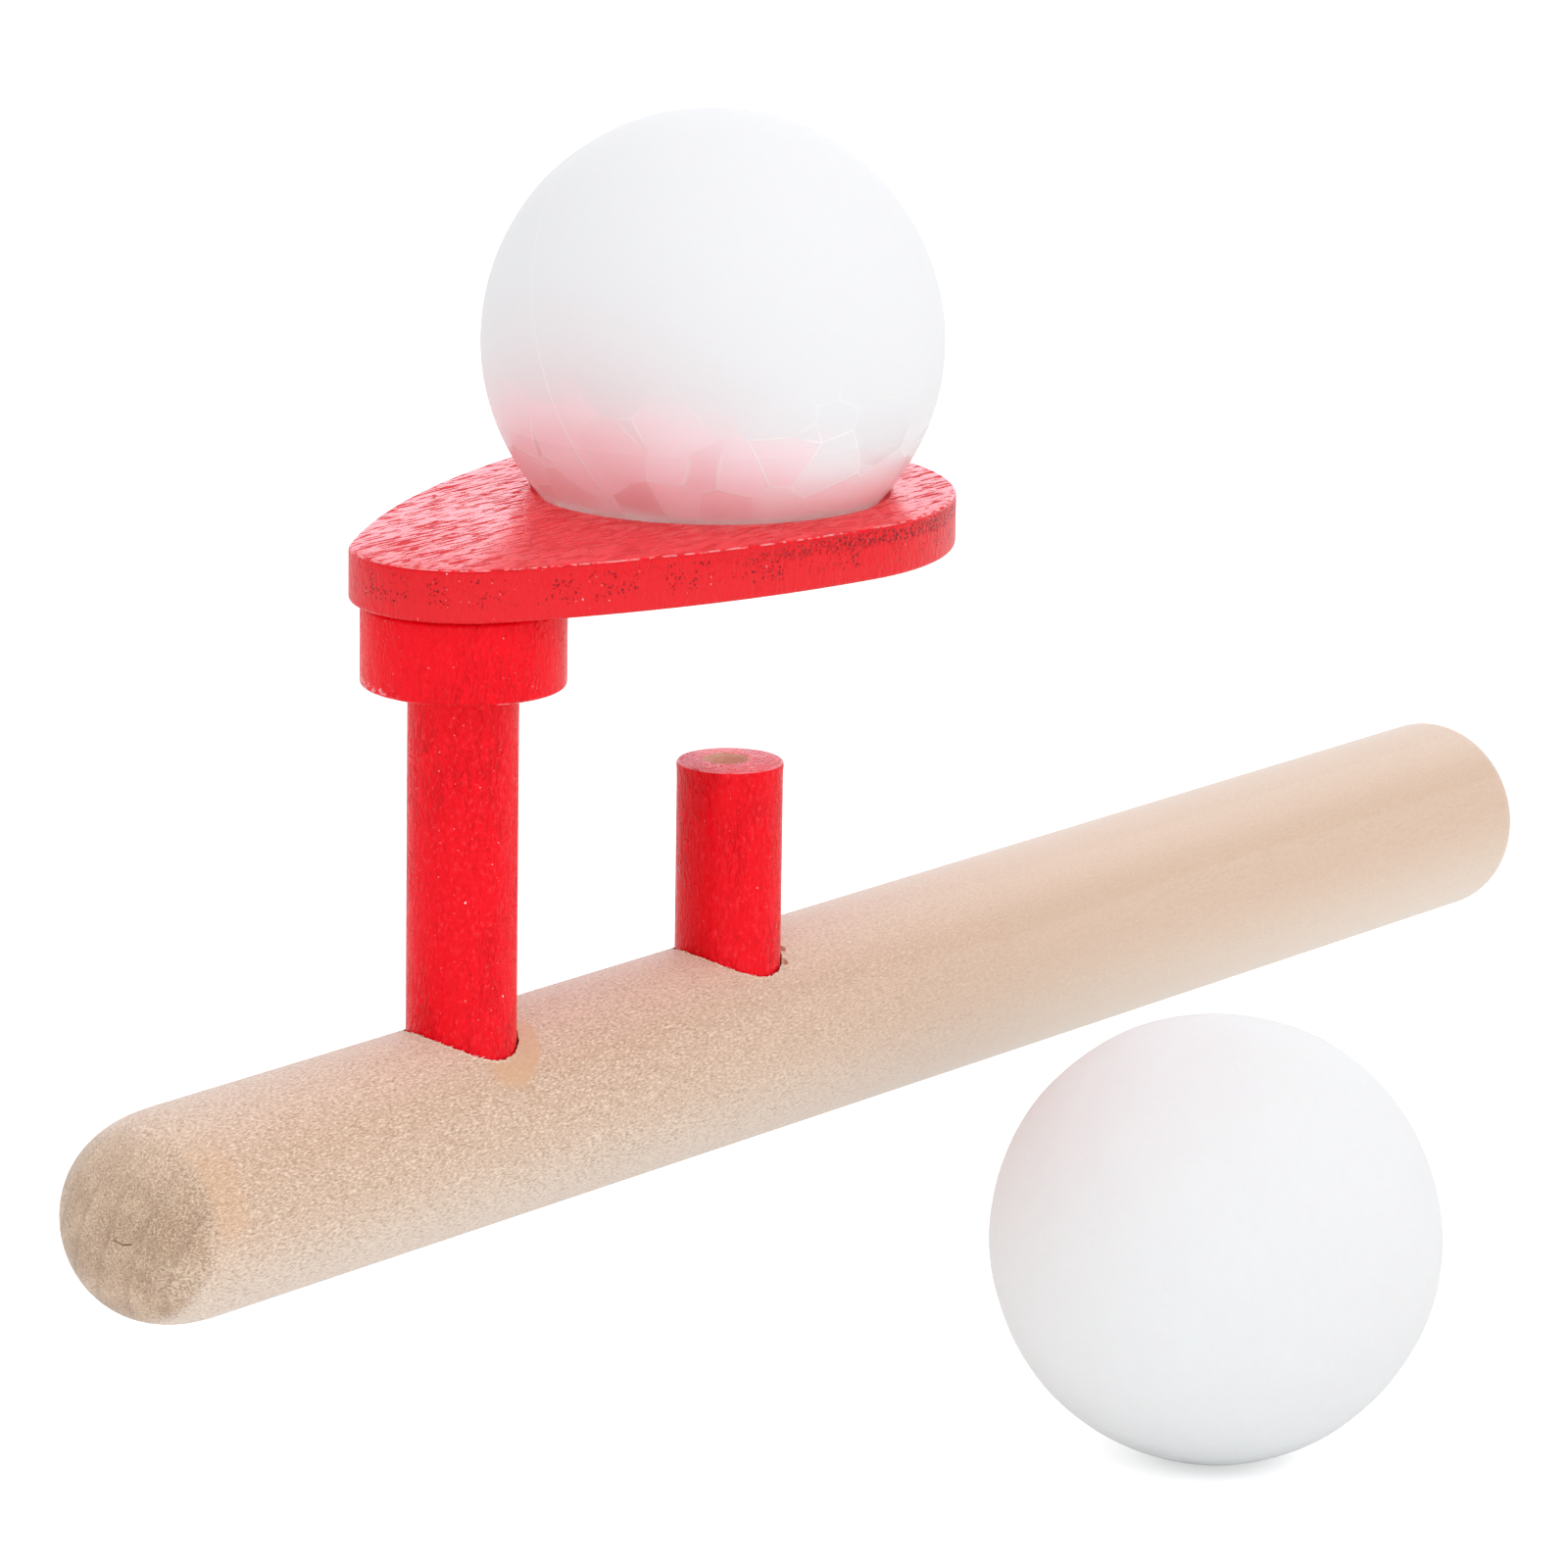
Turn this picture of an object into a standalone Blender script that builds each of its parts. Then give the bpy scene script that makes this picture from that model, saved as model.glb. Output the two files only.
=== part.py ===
"""Blow ball game: a wooden blow pipe that floats a foam ball over a red plate.

Blowing into the mouth end sends air along the bore and up through the nozzle,
and the jet lifts the ball out of the hole in the plate.

Units are metres. +Z is up and +X runs along the pipe towards the mouth end.
The origin lies on the pipe's axis, in the middle of the stretch that a hand holds.
"""
import math

import bmesh
import bpy
from mathutils import Vector

# Blow pipe
PIPE_DIAMETER = 0.0180
CLOSED_END_TO_POST = 0.0439
PIPE_DOME_LENGTH = 0.0103  # rounding of the closed end, along the pipe
PIPE_DOME_FULLNESS = 2.5  # 2 gives an ellipse, more gives squarer shoulders
MOUTH_EDGE_RADIUS = 0.0032
MOUTH_TO_GRIP = 0.0569
MOUTH_TO_NOZZLE = 0.1138
AIR_BORE_DIAMETER = 0.0070
AIR_BORE_OVERRUN = 0.0045  # the bore ends this far beyond the nozzle's axis
BORE_CHAMFER = 0.0005
DOWEL_OFFSET = 0.0009  # post and nozzle stand this far to the -Y side of the pipe's axis

# Post
POST_DIAMETER = 0.0094
POST_TO_NOZZLE = 0.0359
POST_SOCKET_DEPTH = 0.0100
POST_CHAMFER = 0.0006

# Nozzle
NOZZLE_DIAMETER = 0.0093
NOZZLE_BORE_DIAMETER = 0.0040
NOZZLE_HEIGHT = 0.0166  # above the top of the pipe
NOZZLE_REACH = 0.0015  # how far its foot dips into the air bore
NOZZLE_RIM_RADIUS = 0.0003

# Collar
COLLAR_DIAMETER = 0.0174
COLLAR_HEIGHT = 0.0070
COLLAR_EDGE_RADIUS = 0.0004

# Plate
PLATE_CLEAR_HEIGHT = 0.0368  # from the top of the pipe to the plate's underside
PLATE_THICKNESS = 0.0046
PLATE_SIDE_RADIUS = 0.0950
PLATE_RIM_WIDTH = 0.0057  # wood left between the hole and the wide end
PLATE_OVERHANG = 0.00095  # how far the narrow end stands out beyond the collar
PLATE_EDGE_RADIUS = 0.0004
POST_TO_HOLE = 0.0327
HOLE_RIM_RADIUS = 0.0004

# Balls
BALL_DIAMETER = 0.0400
BALL_SEAT_ANGLE = 50.1  # degrees from straight down to where the rim bears on the ball
SPARE_BALL_AHEAD = 0.0257  # beyond the nozzle, towards the mouth
SPARE_BALL_CLEARANCE = 0.0069  # sideways, to the pipe
TABLE_BELOW_PIPE = 0.0278  # the surface that the loose ball lies on

# Clearances
GLUE_GAP = 0.0002  # round a dowel in its socket and between glued faces
BALL_GAP = 0.0003  # between the resting ball and the rim

# Facets
PIPE_SIDES = 64
DOWEL_SIDES = 48
BORE_SIDES = 32
WIDE_END_STEPS = 44
SIDE_STEPS = 12
NARROW_END_STEPS = 16
ROUND_STEPS = 4
DOME_STEPS = 14
BALL_SUBDIVISIONS = 4
SHARP_ANGLE = math.radians(35)

# Places worked out from the driving dimensions
PIPE_RADIUS = PIPE_DIAMETER / 2
MOUTH_X = MOUTH_TO_GRIP
NOZZLE_X = MOUTH_X - MOUTH_TO_NOZZLE
POST_X = NOZZLE_X - POST_TO_NOZZLE
CLOSED_END_X = POST_X - CLOSED_END_TO_POST
PIPE_LENGTH = MOUTH_X - CLOSED_END_X
HOLE_X = POST_X + POST_TO_HOLE
DOWEL_Y = -DOWEL_OFFSET
PIPE_TOP_Z = PIPE_RADIUS
POST_SOCKET_Z = PIPE_TOP_Z - POST_SOCKET_DEPTH
NOZZLE_SEAT_Z = AIR_BORE_DIAMETER / 2 - NOZZLE_REACH
NOZZLE_TOP_Z = PIPE_TOP_Z + NOZZLE_HEIGHT
PLATE_BOTTOM_Z = PIPE_TOP_Z + PLATE_CLEAR_HEIGHT
PLATE_TOP_Z = PLATE_BOTTOM_Z + PLATE_THICKNESS
COLLAR_TOP_Z = PLATE_BOTTOM_Z - GLUE_GAP
COLLAR_BOTTOM_Z = COLLAR_TOP_Z - COLLAR_HEIGHT

# The rim's rounding is centred on a ring that the ball clears by BALL_GAP
BALL_RADIUS = BALL_DIAMETER / 2
RIM_REACH = BALL_RADIUS + BALL_GAP + HOLE_RIM_RADIUS
HOLE_RADIUS = RIM_REACH * math.sin(math.radians(BALL_SEAT_ANGLE)) - HOLE_RIM_RADIUS
BALL_Z = PLATE_TOP_Z - HOLE_RIM_RADIUS + RIM_REACH * math.cos(math.radians(BALL_SEAT_ANGLE))
WIDE_RADIUS = HOLE_RADIUS + PLATE_RIM_WIDTH
NARROW_RADIUS = COLLAR_DIAMETER / 2 + PLATE_OVERHANG
SPARE_BALL_CENTRE = (
    NOZZLE_X + SPARE_BALL_AHEAD,
    -(PIPE_RADIUS + BALL_RADIUS + SPARE_BALL_CLEARANCE),
    BALL_RADIUS - PIPE_RADIUS - TABLE_BELOW_PIPE,
)


def make_material(name, colour, roughness):
    """A plain non-metallic finish in the piece's own colour."""
    material = bpy.data.materials.new(name)
    material.use_nodes = True
    shader = material.node_tree.nodes["Principled BSDF"]
    shader.inputs["Base Color"].default_value = (*colour, 1.0)
    shader.inputs["Roughness"].default_value = roughness
    shader.inputs["Metallic"].default_value = 0.0
    return material


def add_object(name, bm, material, location, parent, turn=(0.0, 0.0, 0.0)):
    """Turn a finished bmesh into a named object, shaded smooth but for its sharp edges."""
    bmesh.ops.recalc_face_normals(bm, faces=bm.faces)
    mesh = bpy.data.meshes.new(name)
    bm.to_mesh(mesh)
    bm.free()
    mesh.shade_smooth()
    mesh.set_sharp_from_angle(angle=SHARP_ANGLE)
    if material is not None:
        mesh.materials.append(material)
    piece = bpy.data.objects.new(name, mesh)
    piece.location = location
    piece.rotation_euler = turn
    piece.parent = parent
    bpy.context.scene.collection.objects.link(piece)
    return piece


def skin(loops, is_ring):
    """Skin loops of equally many points into a closed solid.

    A ring joins its last loop back to the first; otherwise both ends get a flat cap.
    """
    bm = bmesh.new()
    rows = [[bm.verts.new(point) for point in loop] for loop in loops]
    followers = rows[1:] + rows[:1] if is_ring else rows[1:]
    for row, following in zip(rows, followers):
        for i in range(len(row)):
            j = (i + 1) % len(row)
            bm.faces.new((row[i], row[j], following[j], following[i]))
    if not is_ring:
        bm.faces.new(rows[0])
        bm.faces.new(rows[-1])
    return bm


def circle(radius, height, sides):
    """Points of a level circle round the Z axis."""
    angles = [2 * math.pi * i / sides for i in range(sides)]
    return [(radius * math.cos(a), radius * math.sin(a), height) for a in angles]


def turned(profile, sides, is_ring=False):
    """Turn a profile of (radius, height) points round the Z axis."""
    return skin([circle(radius, height, sides) for radius, height in profile], is_ring)


def quarter_round(radius):
    """Steps (in from the side, down from the face) of a rounded edge, starting on the side."""
    angles = [math.pi / 2 * i / ROUND_STEPS for i in range(ROUND_STEPS + 1)]
    return [(radius * (1 - math.cos(a)), radius * (1 - math.sin(a))) for a in angles]


def add_cutter(name, profile, sides, location, parent, turn=(0.0, 0.0, 0.0)):
    """A hidden turned solid that a Boolean takes away."""
    cutter = add_object(name, turned(profile, sides), None, location, parent, turn)
    cutter.hide_render = True
    cutter.display_type = "WIRE"
    return cutter


def cut(piece, cutter):
    """Take a cutter away from a piece."""
    boolean = piece.modifiers.new(cutter.name, "BOOLEAN")
    boolean.operation = "DIFFERENCE"
    boolean.solver = "EXACT"
    boolean.object = cutter


def dome_profile():
    """The closed end of the pipe, from its tip to the full diameter: (radius, height) points."""
    power = 2 / PIPE_DOME_FULLNESS
    angles = [math.pi / 2 * i / DOME_STEPS for i in range(1, DOME_STEPS + 1)]
    return [
        (PIPE_RADIUS * math.sin(a) ** power, PIPE_DOME_LENGTH * (1 - math.cos(a) ** power))
        for a in angles
    ]


def make_blow_pipe(parent):
    """The bare dowel, with its air bore and the sockets of the post and the nozzle."""
    along_x = (0.0, math.pi / 2, 0.0)
    mouth_round = [
        (PIPE_RADIUS - inward, PIPE_LENGTH - down)
        for inward, down in quarter_round(MOUTH_EDGE_RADIUS)
    ]
    wood = make_material("bare_wood", (0.72, 0.55, 0.40), 0.65)
    bm = turned(dome_profile() + mouth_round, PIPE_SIDES)
    pipe = add_object("blow_pipe", bm, wood, (CLOSED_END_X, 0.0, 0.0), parent, along_x)

    bore_radius = AIR_BORE_DIAMETER / 2
    bore_length = MOUTH_TO_NOZZLE + AIR_BORE_OVERRUN
    bore_profile = [
        (bore_radius, 0.0),
        (bore_radius, bore_length - BORE_CHAMFER),
        (bore_radius + 2 * BORE_CHAMFER, bore_length + BORE_CHAMFER),
    ]
    bore_start = (NOZZLE_X - AIR_BORE_OVERRUN, 0.0, 0.0)
    cut(pipe, add_cutter("air_bore", bore_profile, BORE_SIDES, bore_start, parent, along_x))

    above_pipe = PIPE_DIAMETER
    post_hole = POST_DIAMETER / 2 + GLUE_GAP
    post_socket = [(post_hole, POST_SOCKET_Z), (post_hole, above_pipe)]
    cut(pipe, add_cutter("post_socket", post_socket, DOWEL_SIDES, (POST_X, DOWEL_Y, 0.0), parent))

    nozzle_hole = NOZZLE_DIAMETER / 2 + GLUE_GAP
    nozzle_socket = [(nozzle_hole, NOZZLE_SEAT_Z), (nozzle_hole, above_pipe)]
    nozzle_place = (NOZZLE_X, DOWEL_Y, 0.0)
    cut(pipe, add_cutter("nozzle_socket", nozzle_socket, DOWEL_SIDES, nozzle_place, parent))

    # The jet's hole goes on down to the bore's axis, so nozzle and bore always meet
    jet_radius = NOZZLE_BORE_DIAMETER / 2
    jet_hole = [(jet_radius, 0.0), (jet_radius, above_pipe)]
    cut(pipe, add_cutter("jet_hole", jet_hole, BORE_SIDES, nozzle_place, parent))


def make_post(parent, paint):
    """The dowel that stands in the pipe and carries the collar and the plate."""
    radius = POST_DIAMETER / 2
    length = COLLAR_TOP_Z - POST_SOCKET_Z - GLUE_GAP
    profile = [
        (radius - POST_CHAMFER, 0.0),
        (radius, POST_CHAMFER),
        (radius, length - POST_CHAMFER),
        (radius - POST_CHAMFER, length),
    ]
    foot = (POST_X, DOWEL_Y, POST_SOCKET_Z + GLUE_GAP)
    add_object("post", turned(profile, DOWEL_SIDES), paint, foot, parent)


def make_nozzle(parent, paint):
    """The hollow dowel that turns the air upwards."""
    radius = NOZZLE_DIAMETER / 2
    bore = NOZZLE_BORE_DIAMETER / 2
    length = NOZZLE_TOP_Z - NOZZLE_SEAT_Z - GLUE_GAP
    rim = quarter_round(NOZZLE_RIM_RADIUS)
    outside = [(radius - inward, length - down) for inward, down in rim]
    inside = [(bore + inward, length - down) for inward, down in reversed(rim)]
    profile = [(radius, 0.0)] + outside + inside + [(bore, 0.0)]
    foot = (NOZZLE_X, DOWEL_Y, NOZZLE_SEAT_Z + GLUE_GAP)
    add_object("nozzle", turned(profile, DOWEL_SIDES, is_ring=True), paint, foot, parent)


def make_collar(parent, paint):
    """The drilled disc that joins the post's head to the plate."""
    radius = COLLAR_DIAMETER / 2
    bore = POST_DIAMETER / 2 + GLUE_GAP
    edge = quarter_round(COLLAR_EDGE_RADIUS)
    upper = [(radius - inward, COLLAR_HEIGHT - down) for inward, down in edge]
    lower = [(radius - inward, down) for inward, down in reversed(edge)]
    profile = lower + upper + [(bore, COLLAR_HEIGHT), (bore, 0.0)]
    foot = (POST_X, DOWEL_Y, COLLAR_BOTTOM_Z)
    add_object("collar", turned(profile, DOWEL_SIDES, is_ring=True), paint, foot, parent)


def arc(centre_x, centre_y, radius, start, end, steps):
    """Points of an arc, its end left out."""
    angles = [start + (end - start) * i / steps for i in range(steps)]
    return [(centre_x + radius * math.cos(a), centre_y + radius * math.sin(a)) for a in angles]


def pear_outline(inset):
    """The plate's outline about the hole's centre, drawn in by an inset.

    A large arc round the hole and a small one round the post are joined on each side by
    a flat arc that touches both, so an inset only takes the same amount off every radius.
    """
    wide, narrow, side = (r - inset for r in (WIDE_RADIUS, NARROW_RADIUS, PLATE_SIDE_RADIUS))
    to_wide = side - wide
    to_narrow = side - narrow
    side_x = (to_narrow**2 - to_wide**2 - POST_TO_HOLE**2) / (2 * POST_TO_HOLE)
    side_y = -math.sqrt(to_wide**2 - side_x**2)
    leave_wide = math.atan2(-side_y, -side_x)
    meet_narrow = math.atan2(-side_y, -POST_TO_HOLE - side_x)
    full_turn = 2 * math.pi
    return (
        arc(0.0, 0.0, wide, -leave_wide, leave_wide, WIDE_END_STEPS)
        + arc(side_x, side_y, side, leave_wide, meet_narrow, SIDE_STEPS)
        + arc(-POST_TO_HOLE, 0.0, narrow, meet_narrow, full_turn - meet_narrow, NARROW_END_STEPS)
        + arc(side_x, -side_y, side, -meet_narrow, -leave_wide, SIDE_STEPS)
    )


def hole_outline(inset):
    """The hole's circle, widened by an inset, with a point facing each point of the outline."""
    radius = HOLE_RADIUS + inset
    facing = [math.atan2(y, x) for x, y in pear_outline(0.0)]
    return [(radius * math.cos(a), radius * math.sin(a)) for a in facing]


def make_platform(parent, paint):
    """The pear-shaped plate, skinned round its rounded cross-section."""
    edge = quarter_round(PLATE_EDGE_RADIUS)
    rim = quarter_round(HOLE_RIM_RADIUS)
    section = (
        [(pear_outline, inset, down) for inset, down in reversed(edge)]
        + [(pear_outline, inset, PLATE_THICKNESS - down) for inset, down in edge]
        + [(hole_outline, inset, PLATE_THICKNESS - down) for inset, down in reversed(rim)]
        + [(hole_outline, inset, down) for inset, down in rim]
    )
    loops = [[(x, y, z) for x, y in outline(inset)] for outline, inset, z in section]
    place = (HOLE_X, DOWEL_Y, PLATE_BOTTOM_Z)
    add_object("platform", skin(loops, is_ring=True), paint, place, parent)


def make_ball(name, centre, parent):
    """A foam ball with its origin at its centre."""
    foam = make_material(name + "_foam", (0.90, 0.90, 0.89), 0.75)
    bm = bmesh.new()
    bmesh.ops.create_icosphere(bm, subdivisions=BALL_SUBDIVISIONS, radius=BALL_RADIUS)
    add_object(name, bm, foam, centre, parent)


def main():
    for old in list(bpy.data.objects):
        bpy.data.objects.remove(old, do_unlink=True)

    game = bpy.data.objects.new("blow_ball_game", None)
    bpy.context.scene.collection.objects.link(game)
    red = (0.80, 0.02, 0.04)
    make_blow_pipe(game)
    make_post(game, make_material("post_red_paint", red, 0.40))
    make_nozzle(game, make_material("nozzle_red_paint", red, 0.40))
    make_collar(game, make_material("collar_red_paint", red, 0.40))
    make_platform(game, make_material("platform_red_paint", red, 0.35))
    make_ball("ball", Vector((HOLE_X, DOWEL_Y, BALL_Z)), game)
    make_ball("spare_ball", Vector(SPARE_BALL_CENTRE), game)
    bpy.context.view_layer.update()


main()
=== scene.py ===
# %% [markdown]
# # Blow ball game
# A bare wooden pipe carries a red post with a pear-shaped plate, and a red nozzle under the
# plate's hole. Blowing into the pipe lifts the foam ball off the hole. A second ball lies loose.
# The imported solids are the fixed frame: each one is dressed by a finer piece in the same place.

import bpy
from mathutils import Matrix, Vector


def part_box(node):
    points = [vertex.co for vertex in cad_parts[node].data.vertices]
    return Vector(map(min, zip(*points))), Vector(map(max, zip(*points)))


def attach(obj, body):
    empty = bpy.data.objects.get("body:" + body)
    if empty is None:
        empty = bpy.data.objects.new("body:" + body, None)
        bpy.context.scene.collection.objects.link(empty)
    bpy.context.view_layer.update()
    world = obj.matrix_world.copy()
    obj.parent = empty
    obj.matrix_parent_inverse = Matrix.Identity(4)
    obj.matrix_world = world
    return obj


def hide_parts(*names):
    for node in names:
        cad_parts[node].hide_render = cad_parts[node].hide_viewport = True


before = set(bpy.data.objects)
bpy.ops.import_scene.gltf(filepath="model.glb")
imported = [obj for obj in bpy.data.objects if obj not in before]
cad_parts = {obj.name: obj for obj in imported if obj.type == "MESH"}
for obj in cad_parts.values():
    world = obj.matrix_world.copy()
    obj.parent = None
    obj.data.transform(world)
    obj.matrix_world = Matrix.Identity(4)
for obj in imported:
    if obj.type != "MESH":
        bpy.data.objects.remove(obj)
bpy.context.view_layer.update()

import math
import random

import bmesh
import bpy
from mathutils import Matrix, Vector

MM = 0.001

# %% [markdown]
# ## Camera
# The picture was taken with a long lens from the closed end of the pipe, a little above it.
# Its place came from matching edges of the pipe, post, nozzle and balls, and it leans by less
# than a degree, so the turn is built from a heading, a tilt and a roll.

# %% Camera
CAMERA_PLACE = (-627.435 * MM, -456.099 * MM, 202.360 * MM)
CAMERA_HEADING = math.radians(51.787)
CAMERA_DOWN = math.radians(13.771)
CAMERA_ROLL = math.radians(0.886)
CAMERA_LENS = 197.795

camera_turn = (
    Matrix.Rotation(-CAMERA_HEADING, 3, "Z")
    @ Matrix.Rotation(math.pi / 2 - CAMERA_DOWN, 3, "X")
    @ Matrix.Rotation(CAMERA_ROLL, 3, "Z")
)
bpy.ops.object.select_all(action="DESELECT")
bpy.ops.object.camera_add(location=CAMERA_PLACE, rotation=camera_turn.to_euler())
camera = bpy.context.active_object
camera.name = "photo_camera"
camera.data.lens = CAMERA_LENS
camera.data.sensor_width = 36.0
camera.data.clip_start = 0.01
bpy.context.scene.camera = camera
view_ahead = Vector((math.sin(CAMERA_HEADING), math.cos(CAMERA_HEADING), 0.0))
view_right = Vector((math.cos(CAMERA_HEADING), -math.sin(CAMERA_HEADING), 0.0))
print("camera looks along", [round(v, 3) for v in view_ahead])

# %% [markdown]
# ## Node helpers
# Every finish below is a small network of nodes. These helpers add a node, set its values and
# join it to others in one line, so that a material reads like a recipe.

# %% Node helpers


def add_node(tree, kind, inputs=None, **settings):
    """A shader node: settings are its properties, inputs its sockets, by name or number."""
    node = tree.nodes.new("ShaderNode" + kind)
    for key, value in settings.items():
        setattr(node, key, value)
    for key, value in (inputs or {}).items():
        if isinstance(value, bpy.types.NodeSocket):
            tree.links.new(value, node.inputs[key])
        else:
            node.inputs[key].default_value = value
    return node


def calculate(tree, operation, first, second=0.0, third=0.0, clamp=False):
    """The result of a Math node."""
    node = add_node(tree, "Math", {0: first, 1: second, 2: third}, operation=operation)
    node.use_clamp = clamp
    return node.outputs[0]


def measure(tree, operation, first, second=(0.0, 0.0, 0.0)):
    """The single value that a Vector Math node finds: a dot product, a length or a distance."""
    return add_node(tree, "VectorMath", {0: first, 1: second}, operation=operation).outputs["Value"]


def spread(tree, value, low, high, start=0.0, end=1.0):
    """A value from low to high, eased to run from start to end."""
    inputs = {"Value": value, "From Min": low, "From Max": high, "To Min": start, "To Max": end}
    return add_node(tree, "MapRange", inputs, interpolation_type="SMOOTHSTEP").outputs[0]


def blend_colours(tree, share, first, second, blend_type="MIX"):
    """Two colours mixed by a share."""
    inputs = {0: share, 6: first, 7: second}
    node = add_node(tree, "Mix", inputs, data_type="RGBA", blend_type=blend_type)
    return node.outputs[2]


def new_material(name):
    """A material, its node tree and its Principled shader."""
    material = bpy.data.materials.new(name)
    material.use_nodes = True
    tree = material.node_tree
    return material, tree, tree.nodes["Principled BSDF"]


# %% [markdown]
# ## Studio
# The toy is shown on plain white. The world is white to the camera and through clear things. As a
# lamp it is brighter overhead than at the horizon, so undersides come out a little darker. In
# reflections it is bright ahead of the camera and dark behind it, as in a real room. That keeps the
# paint deep where it faces the camera and gives it a sheen where it is seen at a low angle.

# %% World
HORIZON_FILL = 0.84
OVERHEAD_FILL = 0.98
AHEAD_OF_CAMERA = 0.86
ROOM_BEHIND_CAMERA = 0.05
COOL_SHEEN = (0.93, 0.98, 1.08, 1.0)

bpy.context.scene.view_settings.view_transform = "Standard"
world = bpy.data.worlds.new("white_studio")
world.use_nodes = True
bpy.context.scene.world = world
tree = world.node_tree
rays = add_node(tree, "LightPath")
seen = calculate(tree, "MAXIMUM", rays.outputs["Is Camera Ray"], rays.outputs["Is Transmission Ray"])
direction = add_node(tree, "TexCoord").outputs["Generated"]
heading = measure(tree, "DOT_PRODUCT", direction, view_ahead)
sweep = spread(tree, heading, 0.2, 0.8, ROOM_BEHIND_CAMERA, AHEAD_OF_CAMERA)
glossy = rays.outputs["Is Glossy Ray"]
mirrored = calculate(tree, "MULTIPLY", glossy, sweep)
lamp = calculate(tree, "SUBTRACT", 1.0, calculate(tree, "MAXIMUM", seen, glossy))
height = add_node(tree, "SeparateXYZ", {0: direction}).outputs[2]
fill = spread(tree, height, 0.0, 0.9, HORIZON_FILL, OVERHEAD_FILL)
strength = calculate(tree, "MULTIPLY_ADD", lamp, fill, calculate(tree, "MAXIMUM", seen, mirrored))
tint = blend_colours(tree, glossy, (1.0, 1.0, 1.0, 1.0), COOL_SHEEN)
background = tree.nodes["Background"]
tree.links.new(tint, background.inputs["Color"])
tree.links.new(strength, background.inputs["Strength"])
print("world has", len(tree.nodes), "nodes")

# %% [markdown]
# ## Softboxes
# Three square lamps add direction to the even light. The key on the right gives the fall of light on
# the dowels. The one behind is hidden from diffuse light and gives only the cool sheen on the plate.
# The weak one in front is hidden from reflections and only lifts the post and the closed end.
# Their places are counted from the toy in metres to the camera's right, ahead and up.

# %% Softboxes
KEY_PLACE, KEY_SIZE, KEY_WATTS = (0.62, -0.38, 0.72), 0.75, 1.7
BACK_PLACE, BACK_SIZE, BACK_WATTS = (0.0, 1.2, 0.42), 1.3, 5.0
FRONT_PLACE, FRONT_SIZE, FRONT_WATTS = (0.0, -1.0, 0.35), 0.9, 0.9
TOY_MIDDLE = Vector((-60.0, 0.0, 30.0)) * MM


def add_softbox(name, place, size, watts):
    """A square area lamp that faces the toy."""
    right, ahead, up = place
    spot = TOY_MIDDLE + right * view_right + ahead * view_ahead + Vector((0.0, 0.0, up))
    bpy.ops.object.select_all(action="DESELECT")
    turn = (TOY_MIDDLE - spot).to_track_quat("-Z", "Y")
    bpy.ops.object.light_add(type="AREA", location=spot, rotation=turn.to_euler())
    softbox = bpy.context.active_object
    softbox.name = name
    softbox.data.size = size
    softbox.data.energy = watts
    softbox.visible_camera = False
    print(name, "at", [round(v, 2) for v in softbox.location])
    return softbox


add_softbox("key_softbox", KEY_PLACE, KEY_SIZE, KEY_WATTS)
back_softbox = add_softbox("back_softbox", BACK_PLACE, BACK_SIZE, BACK_WATTS)
back_softbox.data.color = COOL_SHEEN[:3]
back_softbox.visible_diffuse = False
front_softbox = add_softbox("front_softbox", FRONT_PLACE, FRONT_SIZE, FRONT_WATTS)
front_softbox.visible_glossy = False

# %% [markdown]
# ## Floor
# The loose ball lies on a plain white floor, and the toy is held above it. A large plane at the
# ball's lowest point is enough. It glows a little, but only as the camera sees it, so it reads as
# white and keeps the soft shadows.

# %% Floor
FLOOR_SIZE = 8.0
FLOOR_COLOUR = (0.93, 0.93, 0.93, 1.0)
FLOOR_GLOW = 0.50

spare_low, spare_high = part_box("spare_ball")
bpy.ops.object.select_all(action="DESELECT")
bpy.ops.mesh.primitive_plane_add(size=FLOOR_SIZE, location=(0.0, 0.0, spare_low.z))
floor = bpy.context.active_object
floor.name = "white_floor"
bpy.ops.object.transform_apply(location=True, rotation=True, scale=True)
floor_white, tree, paint = new_material("floor_white")
paint.inputs["Base Color"].default_value = FLOOR_COLOUR
paint.inputs["Roughness"].default_value = 0.9
paint.inputs["Specular IOR Level"].default_value = 0.0
rays = add_node(tree, "LightPath")
shown = calculate(tree, "MAXIMUM", rays.outputs["Is Camera Ray"], rays.outputs["Is Transmission Ray"])
glow = calculate(tree, "MULTIPLY", shown, FLOOR_GLOW)
paint.inputs["Emission Color"].default_value = (1.0, 1.0, 1.0, 1.0)
tree.links.new(glow, paint.inputs["Emission Strength"])
floor.data.materials.append(floor_white)
print("floor at", round(spare_low.z / MM, 1), "mm")

# %% [markdown]
# ## Turning helpers
# The pipe, post, nozzle and collar are all turned on a lathe. A Screw modifier on a drawn profile
# could make them too. Here a turned piece starts as a disc that is extruded and scaled from station
# to station, which keeps clean rings of quads and lets one list of places and radii describe it.

# %% Turning helpers


def begin(add_primitive, name, material=None, **settings):
    """A new primitive with nothing else selected, its place put into its mesh."""
    bpy.ops.object.select_all(action="DESELECT")
    add_primitive(**settings)
    piece = bpy.context.active_object
    piece.name = name
    piece.data.name = name
    if material:
        piece.data.materials.append(material)
    bpy.ops.object.transform_apply(location=True, rotation=True, scale=True)
    return piece


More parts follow.
